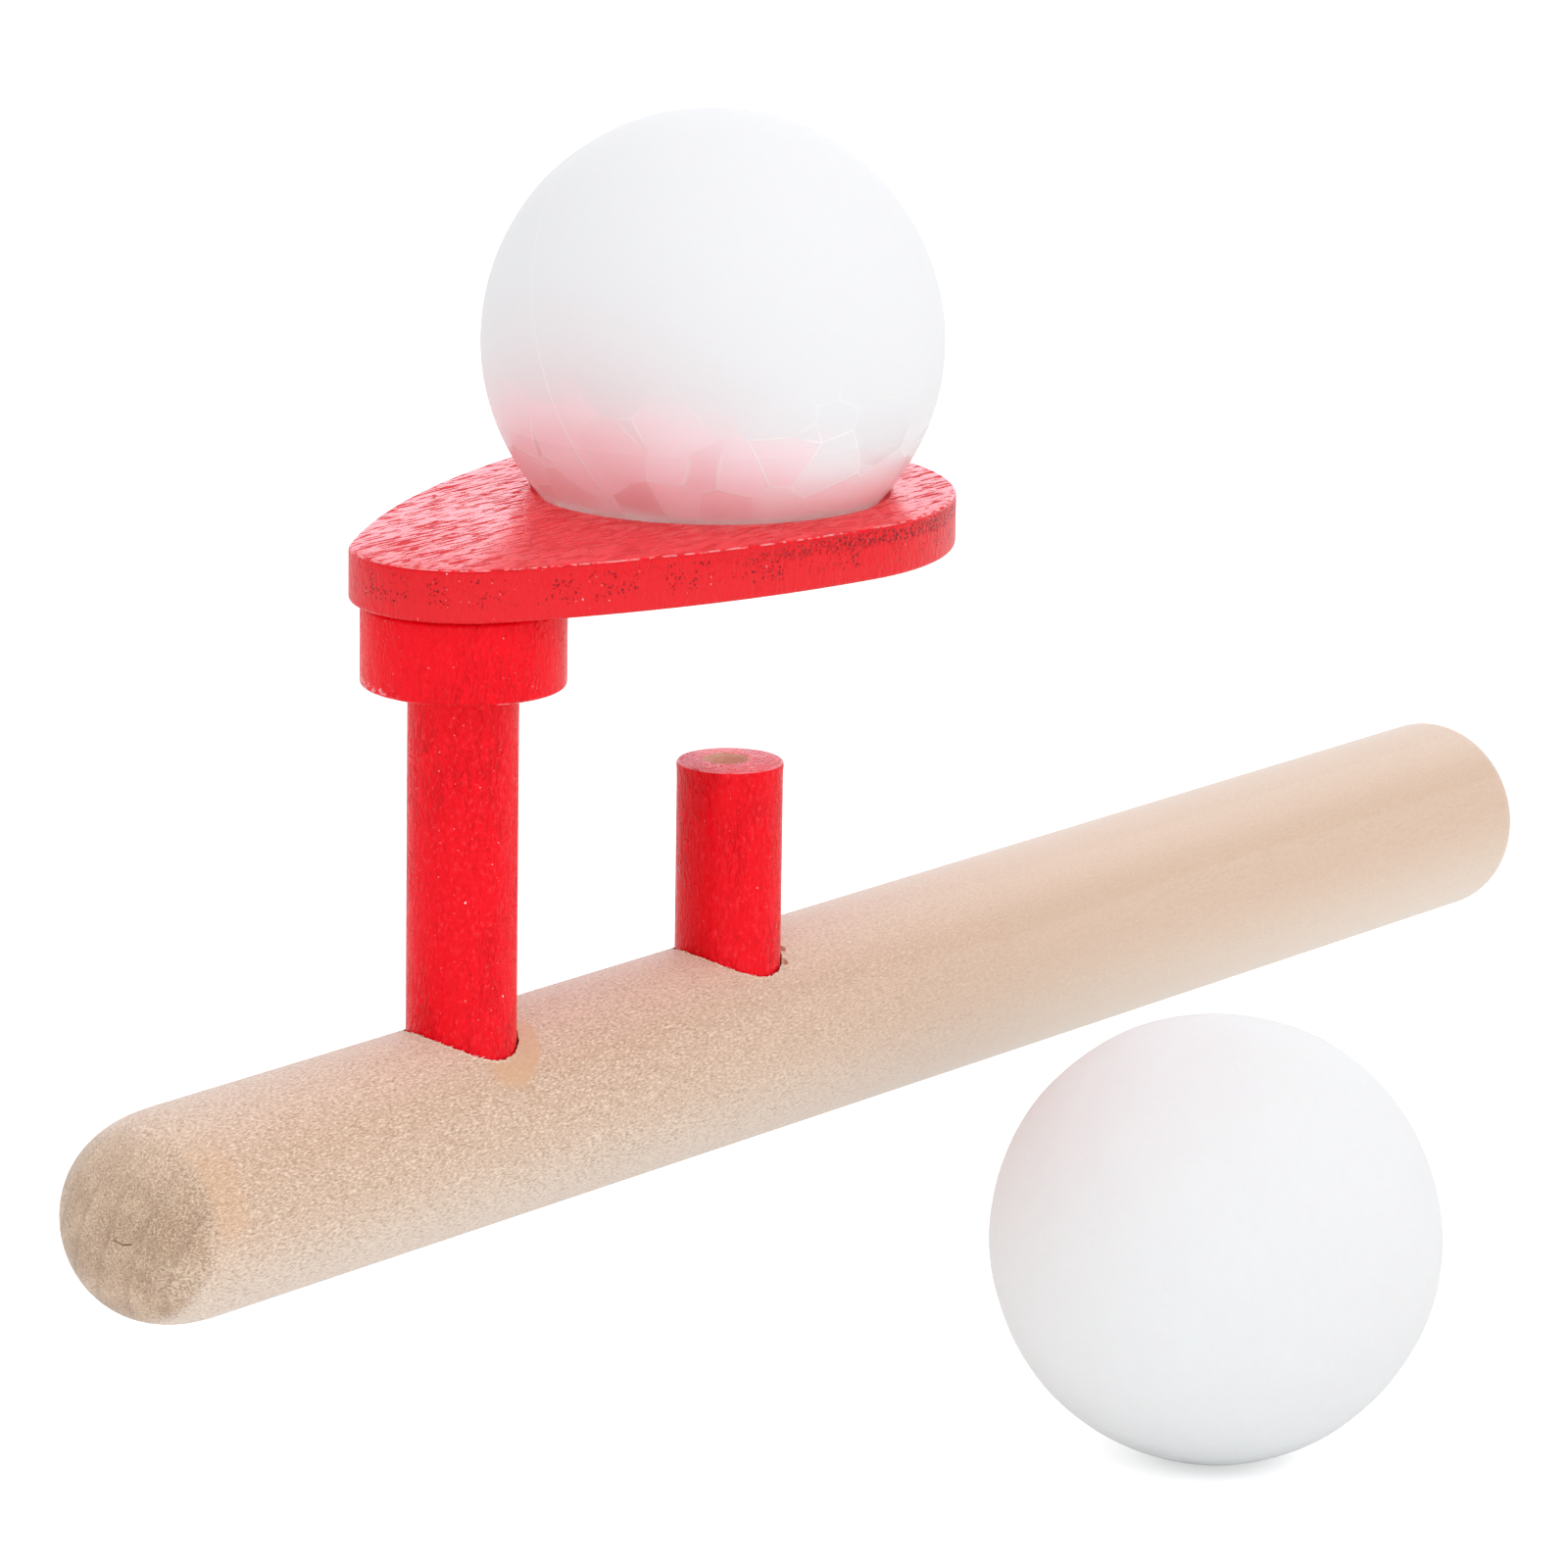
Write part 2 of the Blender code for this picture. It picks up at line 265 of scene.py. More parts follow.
def turn_piece(name, material, profile, sides, along, foot=(0.0, 0.0, 0.0)):
    """A turned piece: profile is a list of (place along the axis, radius)."""
    axis, foot = Vector(along), Vector(foot)
    first, radius = profile[0]
    tilt = (0.0, math.pi / 2, 0.0) if axis.x else (0.0, 0.0, 0.0)
    piece = begin(
        bpy.ops.mesh.primitive_circle_add, name, material, vertices=sides, radius=radius,
        fill_type="NGON", location=foot + axis * first, rotation=tilt,
    )
    bpy.ops.object.mode_set(mode="EDIT")
    for (here, old), (there, new) in zip(profile, profile[1:]):
        bpy.ops.mesh.extrude_region_move(TRANSFORM_OT_translate={"value": axis * (there - here)})
        grow = [new / old * (1 - a) + a for a in axis]
        bpy.ops.transform.resize(value=grow, center_override=foot + axis * there)
    bpy.ops.mesh.select_all(action="SELECT")
    bpy.ops.mesh.normals_make_consistent(inside=False)
    bpy.ops.object.mode_set(mode="OBJECT")
    return piece


def quarter_round(radius, steps):
    """(inset, drop) points of a rounded edge, from the face to the side."""
    angles = [math.pi / 2 * i / steps for i in range(steps + 1)]
    return [(radius * (1 - math.sin(a)), radius * (1 - math.cos(a))) for a in angles]


# %% [markdown]
# ## Cutting and finishing helpers
# Holes, chips and the crack are cut out with the Boolean modifier, applied at once. Its exact solver
# can lose a whole piece when a cutter lies in an unlucky place, so each cut is checked by the size of
# the piece, and a cut that spoilt it is undone and made again with the cutter a hair further on.
# A finished piece gets smooth shading, is attached to its body, and hides the CAD node it stands for.

# %% Cutting and finishing helpers
CUT_TRIES = 6
CUT_NUDGE = Vector((0.0040, 0.0028, 0.0016)) * MM
CUT_TOLERANCE = 0.3 * MM


def make_active(piece):
    """Selects one piece and nothing else."""
    bpy.ops.object.select_all(action="DESELECT")
    piece.select_set(True)
    bpy.context.view_layer.objects.active = piece


def apply_modifier(piece, kind, **settings):
    """Adds a modifier to a piece and applies it."""
    make_active(piece)
    modifier = piece.modifiers.new(kind.lower(), kind)
    for key, value in settings.items():
        setattr(modifier, key, value)
    bpy.ops.object.modifier_apply(modifier=modifier.name)


def shake_points(piece, distance, seed):
    """Moves every point of a piece a little, as a blunt drill would."""
    make_active(piece)
    bpy.ops.object.mode_set(mode="EDIT")
    bpy.ops.mesh.select_all(action="SELECT")
    bpy.ops.transform.vertex_random(offset=distance, uniform=1.0, normal=0.0, seed=seed)
    bpy.ops.object.mode_set(mode="OBJECT")


def cut_away(piece, cutter, inside):
    """Takes the cutter's shape out of a piece, again a hair away if the cut spoils the piece."""
    cutter.data.materials.append(inside)
    uncut, size = piece.data.copy(), piece.dimensions.copy()
    for _ in range(CUT_TRIES):
        apply_modifier(
            piece, "BOOLEAN", operation="DIFFERENCE", solver="EXACT", object=cutter,
            material_mode="TRANSFER",
        )
        bpy.context.view_layer.update()
        if (piece.dimensions - size).length < CUT_TOLERANCE:
            break
        print(piece.name, "lost its shape, cut again")
        piece.data = uncut.copy()
        cutter.data.transform(Matrix.Translation(CUT_NUDGE))
    bpy.data.objects.remove(cutter)


def finish_piece(piece, body, node, angle=35.0):
    """Smooth shading, the body that the piece is attached to, and the CAD node it hides."""
    make_active(piece)
    bpy.ops.object.shade_smooth_by_angle(angle=math.radians(angle))
    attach(piece, body)
    if node:
        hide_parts(node)
    size = [round(side / MM, 1) for side in piece.dimensions]
    print(piece.name, "is", size, "mm with", len(piece.data.polygons), "faces")


# %% [markdown]
# ## Shared effect: grain
# Wood fibres run long in one direction, under paint as well as on bare wood. A picture of wood could
# be wrapped round each piece, but it would stretch and repeat. So one node group stretches noise
# along a chosen axis, and every finish below places it with its own numbers.

# %% Grain group


def new_group(name, inputs, outputs):
    """A shader node group with float or vector inputs and float outputs."""
    group = bpy.data.node_groups.new(name, "ShaderNodeTree")
    for label, kind in inputs:
        group.interface.new_socket(label, in_out="INPUT", socket_type="NodeSocket" + kind)
    for label in outputs:
        group.interface.new_socket(label, in_out="OUTPUT", socket_type="NodeSocketFloat")
    return group, group.nodes.new("NodeGroupInput").outputs, group.nodes.new("NodeGroupOutput").inputs


def vector_math(tree, operation, first, second):
    """The vector result of a Vector Math node."""
    return add_node(tree, "VectorMath", {0: first, 1: second}, operation=operation).outputs["Vector"]


grain_group, given, result = new_group(
    "stretched_grain",
    [("Vector", "Vector"), ("Stretch", "Vector"), ("Detail", "Float"), ("Waviness", "Float")],
    ["Grain"],
)
stretched = vector_math(grain_group, "MULTIPLY", given["Vector"], given["Stretch"])
noise = add_node(
    grain_group, "TexNoise",
    {"Vector": stretched, "Scale": 1.0, "Detail": given["Detail"], "Roughness": 0.65,
     "Distortion": given["Waviness"]},
)
grain_group.links.new(noise.outputs["Fac"], result["Grain"])


def grain(tree, vector, stretch, detail=3.0, waviness=0.0):
    """The stretched grain of a material, with repeats per metre along each axis."""
    node = add_node(tree, "Group", node_tree=grain_group)
    tree.links.new(vector, node.inputs["Vector"])
    node.inputs["Stretch"].default_value = stretch
    node.inputs["Detail"].default_value = detail
    node.inputs["Waviness"].default_value = waviness
    return node.outputs["Grain"]


print(grain_group.name, "has", len(grain_group.nodes), "nodes")

# %% [markdown]
# ## Shared effect: flecks
# Dust in the paint, tiny bare spots and the open pores of plywood are all small dots. A Voronoi
# pattern gives one point in each cell. The group keeps a random share of the cells, gives each dot
# its own size, and shakes the coordinates with noise first, so that the outlines are ragged.

# %% Fleck group
RAGGED_FINENESS = 2.2
RAGGED_REACH = 0.55

fleck_group, given, result = new_group(
    "dust_flecks",
    [("Vector", "Vector"), ("Per Metre", "Float"), ("Radius", "Float"), ("Share", "Float")],
    ["Flecks"],
)
ragged_scale = calculate(fleck_group, "MULTIPLY", given["Per Metre"], RAGGED_FINENESS)
ragged_inputs = {"Vector": given["Vector"], "Scale": ragged_scale, "Detail": 1.0}
ragged = add_node(fleck_group, "TexNoise", ragged_inputs)
ragged = vector_math(fleck_group, "SUBTRACT", ragged.outputs["Color"], (0.5, 0.5, 0.5))
ragged_reach = calculate(fleck_group, "DIVIDE", RAGGED_REACH, given["Per Metre"])
ragged = vector_math(fleck_group, "MULTIPLY", ragged, ragged_reach)
shaken = vector_math(fleck_group, "ADD", given["Vector"], ragged)
dots = add_node(fleck_group, "TexVoronoi", {"Vector": shaken, "Scale": given["Per Metre"]}, feature="F1")
lots = add_node(fleck_group, "SeparateColor", {0: dots.outputs["Color"]}).outputs
kept = calculate(fleck_group, "LESS_THAN", lots[0], given["Share"])
reach = calculate(fleck_group, "MULTIPLY", given["Radius"], calculate(fleck_group, "ADD", lots[1], 0.5))
dot = spread(fleck_group, dots.outputs["Distance"], reach, calculate(fleck_group, "MULTIPLY", reach, 0.5))
fleck_group.links.new(calculate(fleck_group, "MULTIPLY", kept, dot), result["Flecks"])


def flecks(tree, vector, per_metre, radius, share):
    """Small dots of a material: radius is a part of the spacing, share how many are kept."""
    node = add_node(tree, "Group", node_tree=fleck_group)
    tree.links.new(vector, node.inputs["Vector"])
    node.inputs["Per Metre"].default_value = per_metre
    node.inputs["Radius"].default_value = radius
    node.inputs["Share"].default_value = share
    return node.outputs["Flecks"]


def object_place(tree):
    """Object coordinates and their x, y and z."""
    place = add_node(tree, "TexCoord").outputs["Object"]
    return place, add_node(tree, "SeparateXYZ", {0: place}).outputs


def both(tree, *masks):
    """Masks multiplied together."""
    product = masks[0]
    for mask in masks[1:]:
        product = calculate(tree, "MULTIPLY", product, mask)
    return product


print(fleck_group.name, "has", len(fleck_group.nodes), "nodes")

# %% [markdown]
# ## Bare wood
# The pipe is unpainted pale birch. Rings grow round a heart line that lies outside the dowel, so
# they show as long faint bands, dark on one side and fading on the other. Over them lie short
# fuzzy flecks along the fibres, crisp at the closed end. The distance from the heart line, bent by
# slow noise, gives the rings in solid wood, so that sides and ends agree as they do in a real dowel.

# %% Birch: bands, flecks and tone
HEART_LINE = (42.7 * MM, 14.3 * MM)
RING_SPACING = 5.45 * MM
DARK_RING = 46.1 * MM
RING_DRIFT = 2.4 * MM
BIRCH, BIRCH_AT_MOUTH = (0.700, 0.492, 0.358, 1), (0.720, 0.532, 0.405, 1)
RING_BROWN, DASH_BROWN = (0.62, 0.41, 0.27, 1), (0.66, 0.45, 0.31, 1)
FLOOR_REFLECTION_PAINT, TOP_SHEEN_PAINT = (0.86, 0.745, 0.640, 1), (0.85, 0.665, 0.545, 1)
DARK_FLECK, LIGHT_FLECK = (0.43, 0.265, 0.165, 1), (0.96, 0.82, 0.68, 1)

pipe_low, pipe_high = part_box("blow_pipe")
post_low, post_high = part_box("post")
nozzle_low, nozzle_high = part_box("nozzle")
post_middle, nozzle_middle = (post_low + post_high) / 2, (nozzle_low + nozzle_high) / 2

birch, tree, wood = new_material("pale_birch")
place, (x, y, z) = object_place(tree)
drift = grain(tree, place, (9.0, 70.0, 70.0), 2.0)
speckle = grain(tree, place, (2200.0, 7000.0, 7000.0), 4.0)
dashes = grain(tree, place, (420.0, 3800.0, 3800.0), 2.0)
clouds = grain(tree, place, (110.0, 260.0, 260.0), 2.0)

from_heart = add_node(tree, "CombineXYZ", {0: 0.0})
tree.links.new(calculate(tree, "SUBTRACT", y, HEART_LINE[0]), from_heart.inputs[1])
tree.links.new(calculate(tree, "SUBTRACT", z, HEART_LINE[1]), from_heart.inputs[2])
from_dark = measure(tree, "LENGTH", from_heart.outputs[0])
from_dark = calculate(tree, "SUBTRACT", from_dark, DARK_RING + 0.5 * RING_DRIFT)
from_dark = calculate(tree, "MULTIPLY_ADD", drift, RING_DRIFT, from_dark)
year = calculate(tree, "FRACT", calculate(tree, "DIVIDE", from_dark, RING_SPACING))
ring = both(tree, spread(tree, year, 0.2, 0.95), spread(tree, year, 1.0, 0.94))

towards_mouth = spread(tree, x, -100 * MM, -5 * MM)
bare = blend_colours(tree, towards_mouth, BIRCH, BIRCH_AT_MOUTH)
bare = blend_colours(tree, both(tree, ring, 0.22), bare, RING_BROWN)
bare = blend_colours(tree, spread(tree, dashes, 0.40, 0.72, 0.0, 0.35), bare, DASH_BROWN)
# The lower side is painted paler: a painted reflection of the white floor.
underside = spread(tree, z, 3.0 * MM, -7.0 * MM, 0.0, 0.72)
bare = blend_colours(tree, underside, bare, FLOOR_REFLECTION_PAINT)
# The top is painted lighter: a painted sheen along the upper edge.
painted_top_sheen = spread(tree, z, 5.5 * MM, 8.5 * MM, 0.0, 0.35)
bare = blend_colours(tree, painted_top_sheen, bare, TOP_SHEEN_PAINT)

crisp = spread(tree, x, -88 * MM, -8 * MM, 1.0, 0.14)
dark_fleck = both(tree, spread(tree, speckle, 0.50, 0.34, 0.0, 0.78), crisp)
light_fleck = both(tree, spread(tree, speckle, 0.51, 0.66, 0.0, 0.80), crisp)
bare = blend_colours(tree, dark_fleck, bare, DARK_FLECK)
bare = blend_colours(tree, light_fleck, bare, LIGHT_FLECK)
print("bands and flecks have", len(tree.nodes), "nodes")

# %% [markdown]
# ## End grain
# The closed end is cut across the fibres and shows open end grain. It is browner and greyer, with
# arcs of the rings, soft smudges, fine pale squiggles and a spot of torn fibres. Its border is
# frayed by the same noise as the grain, and just behind it lies a warmer band.

# %% Birch: end grain and warm band
END_BOUNDARY_X = -132.4 * MM
FIBRE_SPOT = (-133.7 * MM, -6.4 * MM, -3.2 * MM)
END_BROWN, END_TAN = (0.500, 0.335, 0.220, 1), (0.640, 0.446, 0.306, 1)
END_DARK_FLECK, END_LIGHT_FLECK = (0.25, 0.150, 0.090, 1), (0.84, 0.68, 0.53, 1)
END_RING, SQUIGGLE = (0.33, 0.205, 0.135, 1), (0.88, 0.71, 0.54, 1)
PALE_FIBRE, WARM_BAND = (0.90, 0.75, 0.60, 1), (0.78, 0.46, 0.25, 1)

frayed = calculate(tree, "MULTIPLY_ADD", drift, 2.6 * MM, calculate(tree, "ADD", x, -1.3 * MM))
frayed = calculate(tree, "MULTIPLY_ADD", speckle, 1.6 * MM, calculate(tree, "ADD", frayed, -0.8 * MM))
end_grain = both(
    tree, spread(tree, frayed, END_BOUNDARY_X + 0.8 * MM, END_BOUNDARY_X - 0.8 * MM),
    spread(tree, z, 7.5 * MM, 1.0 * MM, 0.30, 1.0),
)
end_colour = blend_colours(tree, spread(tree, clouds, 0.3, 0.7), END_BROWN, END_TAN)
end_colour = blend_colours(tree, dark_fleck, end_colour, END_DARK_FLECK)
end_colour = blend_colours(tree, light_fleck, end_colour, END_LIGHT_FLECK)
squiggles = grain(tree, place, (1500.0, 1500.0, 1500.0), 1.0, 0.6)
squiggles = calculate(tree, "ABSOLUTE", calculate(tree, "SUBTRACT", squiggles, 0.5))
squiggles = both(tree, spread(tree, squiggles, 0.022, 0.008), spread(tree, clouds, 0.45, 0.60, 0.0, 0.7))
end_colour = blend_colours(tree, squiggles, end_colour, SQUIGGLE)
arcs = calculate(tree, "FRACT", calculate(tree, "DIVIDE", from_dark, 0.5 * RING_SPACING))
arcs = both(tree, spread(tree, arcs, 0.70, 0.92), spread(tree, arcs, 1.0, 0.94, 0.0, 0.35))
end_colour = blend_colours(tree, arcs, end_colour, END_RING)
smudges = spread(tree, grain(tree, place, (420.0, 420.0, 260.0), 3.0, 0.8), 0.42, 0.28, 0.0, 0.5)
end_colour = blend_colours(tree, smudges, end_colour, END_RING)
near_spot = measure(tree, "DISTANCE", place, FIBRE_SPOT)
fibres = both(tree, spread(tree, near_spot, 3.4 * MM, 0.4 * MM, 0.0, 0.6), spread(tree, dashes, 0.45, 0.58))
end_colour = blend_colours(tree, fibres, end_colour, PALE_FIBRE)

warm = both(
    tree, spread(tree, frayed, -132.4 * MM, -131.4 * MM), spread(tree, frayed, -127.6 * MM, -129.8 * MM),
    spread(tree, z, -1.5 * MM, 1.5 * MM, 0.0, 0.26), spread(tree, z, 8.0 * MM, 6.0 * MM),
)
colour = blend_colours(tree, warm, bare, WARM_BAND)
colour = blend_colours(tree, end_grain, colour, end_colour)
print("with its end grain the birch has", len(tree.nodes), "nodes")

# %% [markdown]
# ## Glue stain and surface
# Glue has run out at the foot of the post and soaked into the wood as a small warm fan. The mask
# takes what lies within reach of the post, inside a range of directions, with a ragged border. Bare
# sanded wood is matte with a soft sheen from its fuzz, and the glue leaves it a little smoother.

# %% Birch: glue stain and surface
STAIN_REACH = 6.9 * MM
STAIN_TURN = math.radians(-66)
GLUE_STAIN = (0.73, 0.445, 0.254, 1)

from_post = vector_math(tree, "SUBTRACT", place, (post_middle.x, post_middle.y, 0.0))
from_post = vector_math(tree, "MULTIPLY", from_post, (1.0, 1.0, 0.0))
stain_side = (math.cos(STAIN_TURN), math.sin(STAIN_TURN), 0.0)
post_distance = measure(tree, "LENGTH", from_post)
along_stain = measure(tree, "DOT_PRODUCT", from_post, stain_side)
soaked = calculate(tree, "MULTIPLY_ADD", speckle, 0.5 * MM, post_distance)
stain = both(
    tree, spread(tree, soaked, STAIN_REACH + 0.35 * MM, STAIN_REACH - 0.35 * MM),
    spread(tree, calculate(tree, "DIVIDE", along_stain, post_distance), 0.60, 0.80, 0.0, 0.75),
    spread(tree, z, 0.0, 2.0 * MM),
)
colour = blend_colours(tree, stain, colour, GLUE_STAIN)
tree.links.new(colour, wood.inputs["Base Color"])
wood.inputs["Sheen Weight"].default_value = 0.38
wood.inputs["Sheen Roughness"].default_value = 0.4
rough = spread(tree, speckle, 0.3, 0.7, 0.66, 0.50)
tree.links.new(calculate(tree, "MULTIPLY_ADD", stain, -0.16, rough), wood.inputs["Roughness"])
relief = both(tree, speckle, crisp)
bump = add_node(tree, "Bump", {"Strength": 0.8, "Distance": 0.09 * MM, "Height": relief})
tree.links.new(bump.outputs[0], wood.inputs["Normal"])
print("birch has", len(tree.nodes), "nodes")

# %% [markdown]
# ## Drilled and torn wood
# Inside a drilled hole the wood is rougher and a little browner, and where the drill left the pipe
# it tore up pale fibres. Above the pipe, in the nozzle's hole, the drilled wood is painted lighter
# and warmer: painted light on the wall of the bore. One material serves all holes that way.

# %% Drilled and torn wood
DRILLED_DARK, DRILLED_LIGHT = (0.62, 0.42, 0.28, 1), (0.78, 0.58, 0.42, 1)
LIT_BORE_DARK, LIT_BORE_LIGHT = (0.96, 0.57, 0.44, 1), (1.0, 0.70, 0.56, 1)
TORN_DARK, TORN_LIGHT = (0.78, 0.60, 0.46, 1), (0.94, 0.80, 0.67, 1)

drilled, tree, wood = new_material("drilled_wood")
place, (_, _, z) = object_place(tree)
tool_marks = grain(tree, place, (900.0, 900.0, 3800.0), 3.0)
colour = blend_colours(tree, spread(tree, tool_marks, 0.3, 0.7), DRILLED_DARK, DRILLED_LIGHT)
# Above the pipe the bore's wood is painted lighter and warmer: painted light on its wall.
painted_lit_bore = blend_colours(tree, spread(tree, tool_marks, 0.3, 0.7), LIT_BORE_DARK, LIT_BORE_LIGHT)
colour = blend_colours(tree, spread(tree, z, 12 * MM, 16 * MM), colour, painted_lit_bore)
tree.links.new(colour, wood.inputs["Base Color"])
tree.links.new(spread(tree, tool_marks, 0.3, 0.7, 0.8, 0.65), wood.inputs["Roughness"])
bump = add_node(tree, "Bump", {"Strength": 0.7, "Distance": 0.12 * MM, "Height": tool_marks})
tree.links.new(bump.outputs[0], wood.inputs["Normal"])

torn, tree, wood = new_material("torn_fibres")
place, _ = object_place(tree)
threads = grain(tree, place, (4000.0, 4000.0, 4000.0), 2.0)
colour = blend_colours(tree, spread(tree, threads, 0.35, 0.65), TORN_DARK, TORN_LIGHT)
tree.links.new(colour, wood.inputs["Base Color"])
tree.links.new(spread(tree, threads, 0.3, 0.7, 0.75, 0.6), wood.inputs["Roughness"])
print("made", drilled.name, "and", torn.name)

# %% [markdown]
# ## Pipe
# The pipe is an 18 mm dowel, rounded at both ends, with the air bore drilled in from the mouth.
# One profile describes it: out of the bore, round the mouth's edge, along the side and over the
# closed end. The closed end is fuller than a half ball, so its curve is a superellipse.

# %% Pipe
PIPE_RADIUS = pipe_high.y
MOUTH_X, CLOSED_X = pipe_high.x, pipe_low.x
AIR_BORE_RADIUS = 3.5 * MM
AIR_BORE_END_X = nozzle_middle.x - 4.5 * MM
BORE_CHAMFER = 0.5 * MM
MOUTH_ROUND = 3.2 * MM
DOME_LENGTH = 10.3 * MM
DOME_FULLNESS = 2.5
DOME_STEPS = 22
RING_PITCH = 6.0 * MM
PIPE_SIDES = 128


def pipe_profile():
    """From the end of the air bore, out at the mouth and back to the closed end."""
    points = [(AIR_BORE_END_X, AIR_BORE_RADIUS), (MOUTH_X - BORE_CHAMFER, AIR_BORE_RADIUS)]
    points.append((MOUTH_X, AIR_BORE_RADIUS + BORE_CHAMFER))
    points += [(MOUTH_X - drop, PIPE_RADIUS - inset) for inset, drop in quarter_round(MOUTH_ROUND, 10)]
    start, end = MOUTH_X - MOUTH_ROUND, CLOSED_X + DOME_LENGTH
    rings = round((start - end) / RING_PITCH)
    points += [(start + (end - start) * i / rings, PIPE_RADIUS) for i in range(1, rings + 1)]
    power = 2 / DOME_FULLNESS
    for i in range(1, DOME_STEPS):
        angle = math.pi / 2 * (1 - i / DOME_STEPS)
        along = DOME_LENGTH * (1 - math.cos(angle) ** power)
        points.append((CLOSED_X + along, PIPE_RADIUS * math.sin(angle) ** power))
    points.append((CLOSED_X, 0.2 * MM))
    return points


pipe = turn_piece("turned_pipe", birch, pipe_profile(), PIPE_SIDES, (1, 0, 0))
print("pipe turned through", len(pipe_profile()), "rings")

# %% [markdown]
# ## Sockets, chips and crack
# The post is glued into a blind hole, the nozzle into one that opens into the air bore. Their cutters
# are cylinders whose points are shaken, as a drill would leave the rim. Beside the nozzle the drill
# broke out chips, cut with rough little balls, and two thin boxes at an angle make the bent drying
# crack in the closed end.

# %% Sockets, chips and crack
POST_RADIUS = (post_high.x - post_low.x) / 2
NOZZLE_RADIUS = (nozzle_high.x - nozzle_low.x) / 2
SOCKET_GAP = 0.16 * MM
DRILL_SHAKE = 0.06 * MM
DRILL_SIDES = 96
CHIP_TURNS = (-14, -33, -54)
CHIP_SIZE = 0.55 * MM
CRACK_SIZE = (1.4 * MM, 1.0 * MM, 0.14 * MM)
CRACK_BENDS = ((-1.9 * MM, 0.0, 14), (-2.75 * MM, -0.06 * MM, -11))

for middle, radius, floor_z, seed in (
    (post_middle, POST_RADIUS, post_low.z, 3), (nozzle_middle, NOZZLE_RADIUS, nozzle_low.z, 8)
):
    top_z = PIPE_RADIUS + 3 * MM
    drill = begin(
        bpy.ops.mesh.primitive_cylinder_add, "socket_drill", vertices=DRILL_SIDES,
        radius=radius + SOCKET_GAP, depth=top_z - floor_z + SOCKET_GAP,
        location=(middle.x, middle.y, (top_z + floor_z - SOCKET_GAP) / 2),
    )
    shake_points(drill, DRILL_SHAKE, seed)
    cut_away(pipe, drill, drilled)

for turn in CHIP_TURNS:
    angle = math.radians(turn)
    reach = NOZZLE_RADIUS + SOCKET_GAP + 0.12 * MM
    spot = nozzle_middle + Vector((reach * math.cos(angle), reach * math.sin(angle), 0))
    spot.z = math.sqrt(PIPE_RADIUS**2 - spot.y**2)
    chip = begin(
        bpy.ops.mesh.primitive_ico_sphere_add, "chip_cutter", subdivisions=1, radius=CHIP_SIZE,
        location=spot, rotation=(angle, 0.4, angle),
    )
    cut_away(pipe, chip, drilled)

for crack_y, crack_z, tilt in CRACK_BENDS:
    crack = begin(
        bpy.ops.mesh.primitive_cube_add, "crack_cutter", size=1, location=(CLOSED_X, crack_y, crack_z),
        scale=CRACK_SIZE, rotation=(math.radians(tilt), 0, 0),
    )
    cut_away(pipe, crack, drilled)
finish_piece(pipe, "toy", "blow_pipe")

# %% [markdown]
# ## Torn fibres at the feet
# The drill frayed the wood at the front of both sockets, so a pale fringe stands against the red
# paint. Hair strands could make it, but would still have to become a mesh. So one splinter is
# modelled as a thin cone with four sides and copied along the rim, each copy turned and stretched a
# little differently, and the copies of one foot are joined.

# %% Torn fibres
SPLINTER_LENGTH = 0.48 * MM
SPLINTER_RADIUS = 0.06 * MM


def add_fibres(name, middle, radius, first_turn, last_turn, count, seed):
    """A fringe of splinters along part of a socket's rim."""
    chance = random.Random(seed)
    splinter = begin(
        bpy.ops.mesh.primitive_cone_add, name, torn, vertices=4, depth=SPLINTER_LENGTH,
        radius1=SPLINTER_RADIUS, radius2=0.2 * SPLINTER_RADIUS,
    )
    fringe = [splinter]
    for i in range(1, count):
        copy = splinter.copy()
        copy.data = splinter.data.copy()
        bpy.context.scene.collection.objects.link(copy)
        fringe.append(copy)
    for i, copy in enumerate(fringe):
        angle = math.radians(first_turn + (last_turn - first_turn) * (i + chance.random()) / count)
        out = Vector((math.cos(angle), math.sin(angle), 0.0))
        spot = middle + out * (radius + chance.uniform(0.05, 0.22) * MM)
        spot.z = math.sqrt(PIPE_RADIUS**2 - spot.y**2) + 0.03 * MM
        sideways = Vector((-out.y, out.x, 0.0)) * chance.choice((-1, 1))
        lean = sideways * chance.uniform(0.6, 1.6)
        lean += Vector((0, 0, 1)) * chance.uniform(0.1, 0.6) - out * 0.15
        copy.location = spot
        copy.rotation_euler = lean.to_track_quat("Z", "X").to_euler()
        copy.scale = [chance.uniform(0.7, 1.5), chance.uniform(0.6, 1.2), chance.uniform(0.6, 1.5)]
    make_active(splinter)
    for copy in fringe:
        copy.select_set(True)
    bpy.ops.object.join()
    bpy.ops.object.transform_apply(location=True, rotation=True, scale=True)
    finish_piece(splinter, "toy", None)


add_fibres("post_foot_fibres", post_middle, POST_RADIUS + SOCKET_GAP, -205, -75, 60, 5)
add_fibres("nozzle_foot_fibres", nozzle_middle, NOZZLE_RADIUS + SOCKET_GAP, -205, -80, 46, 9)

# %% [markdown]
# ## Red paint on the dowels
# The post, nozzle and collar have a coat of thin red paint that lets the grain stand up. It breaks
# into fine wavy upright ridges, in patches, and white specks of dust have dried in everywhere.
# The recipe is a function, because the dowels and the collar need it with different strengths.

# %% Dowel paint recipe
RED = (0.930, 0.0034, 0.0130, 1)
DEEP_RED = (0.62, 0.0014, 0.0055, 1)
LIGHT_RED = (0.97, 0.032, 0.047, 1)
DUST = (0.95, 0.76, 0.74, 1)
SPECK = (0.97, 0.90, 0.86, 1)
DOWEL_GLOSS = 0.13


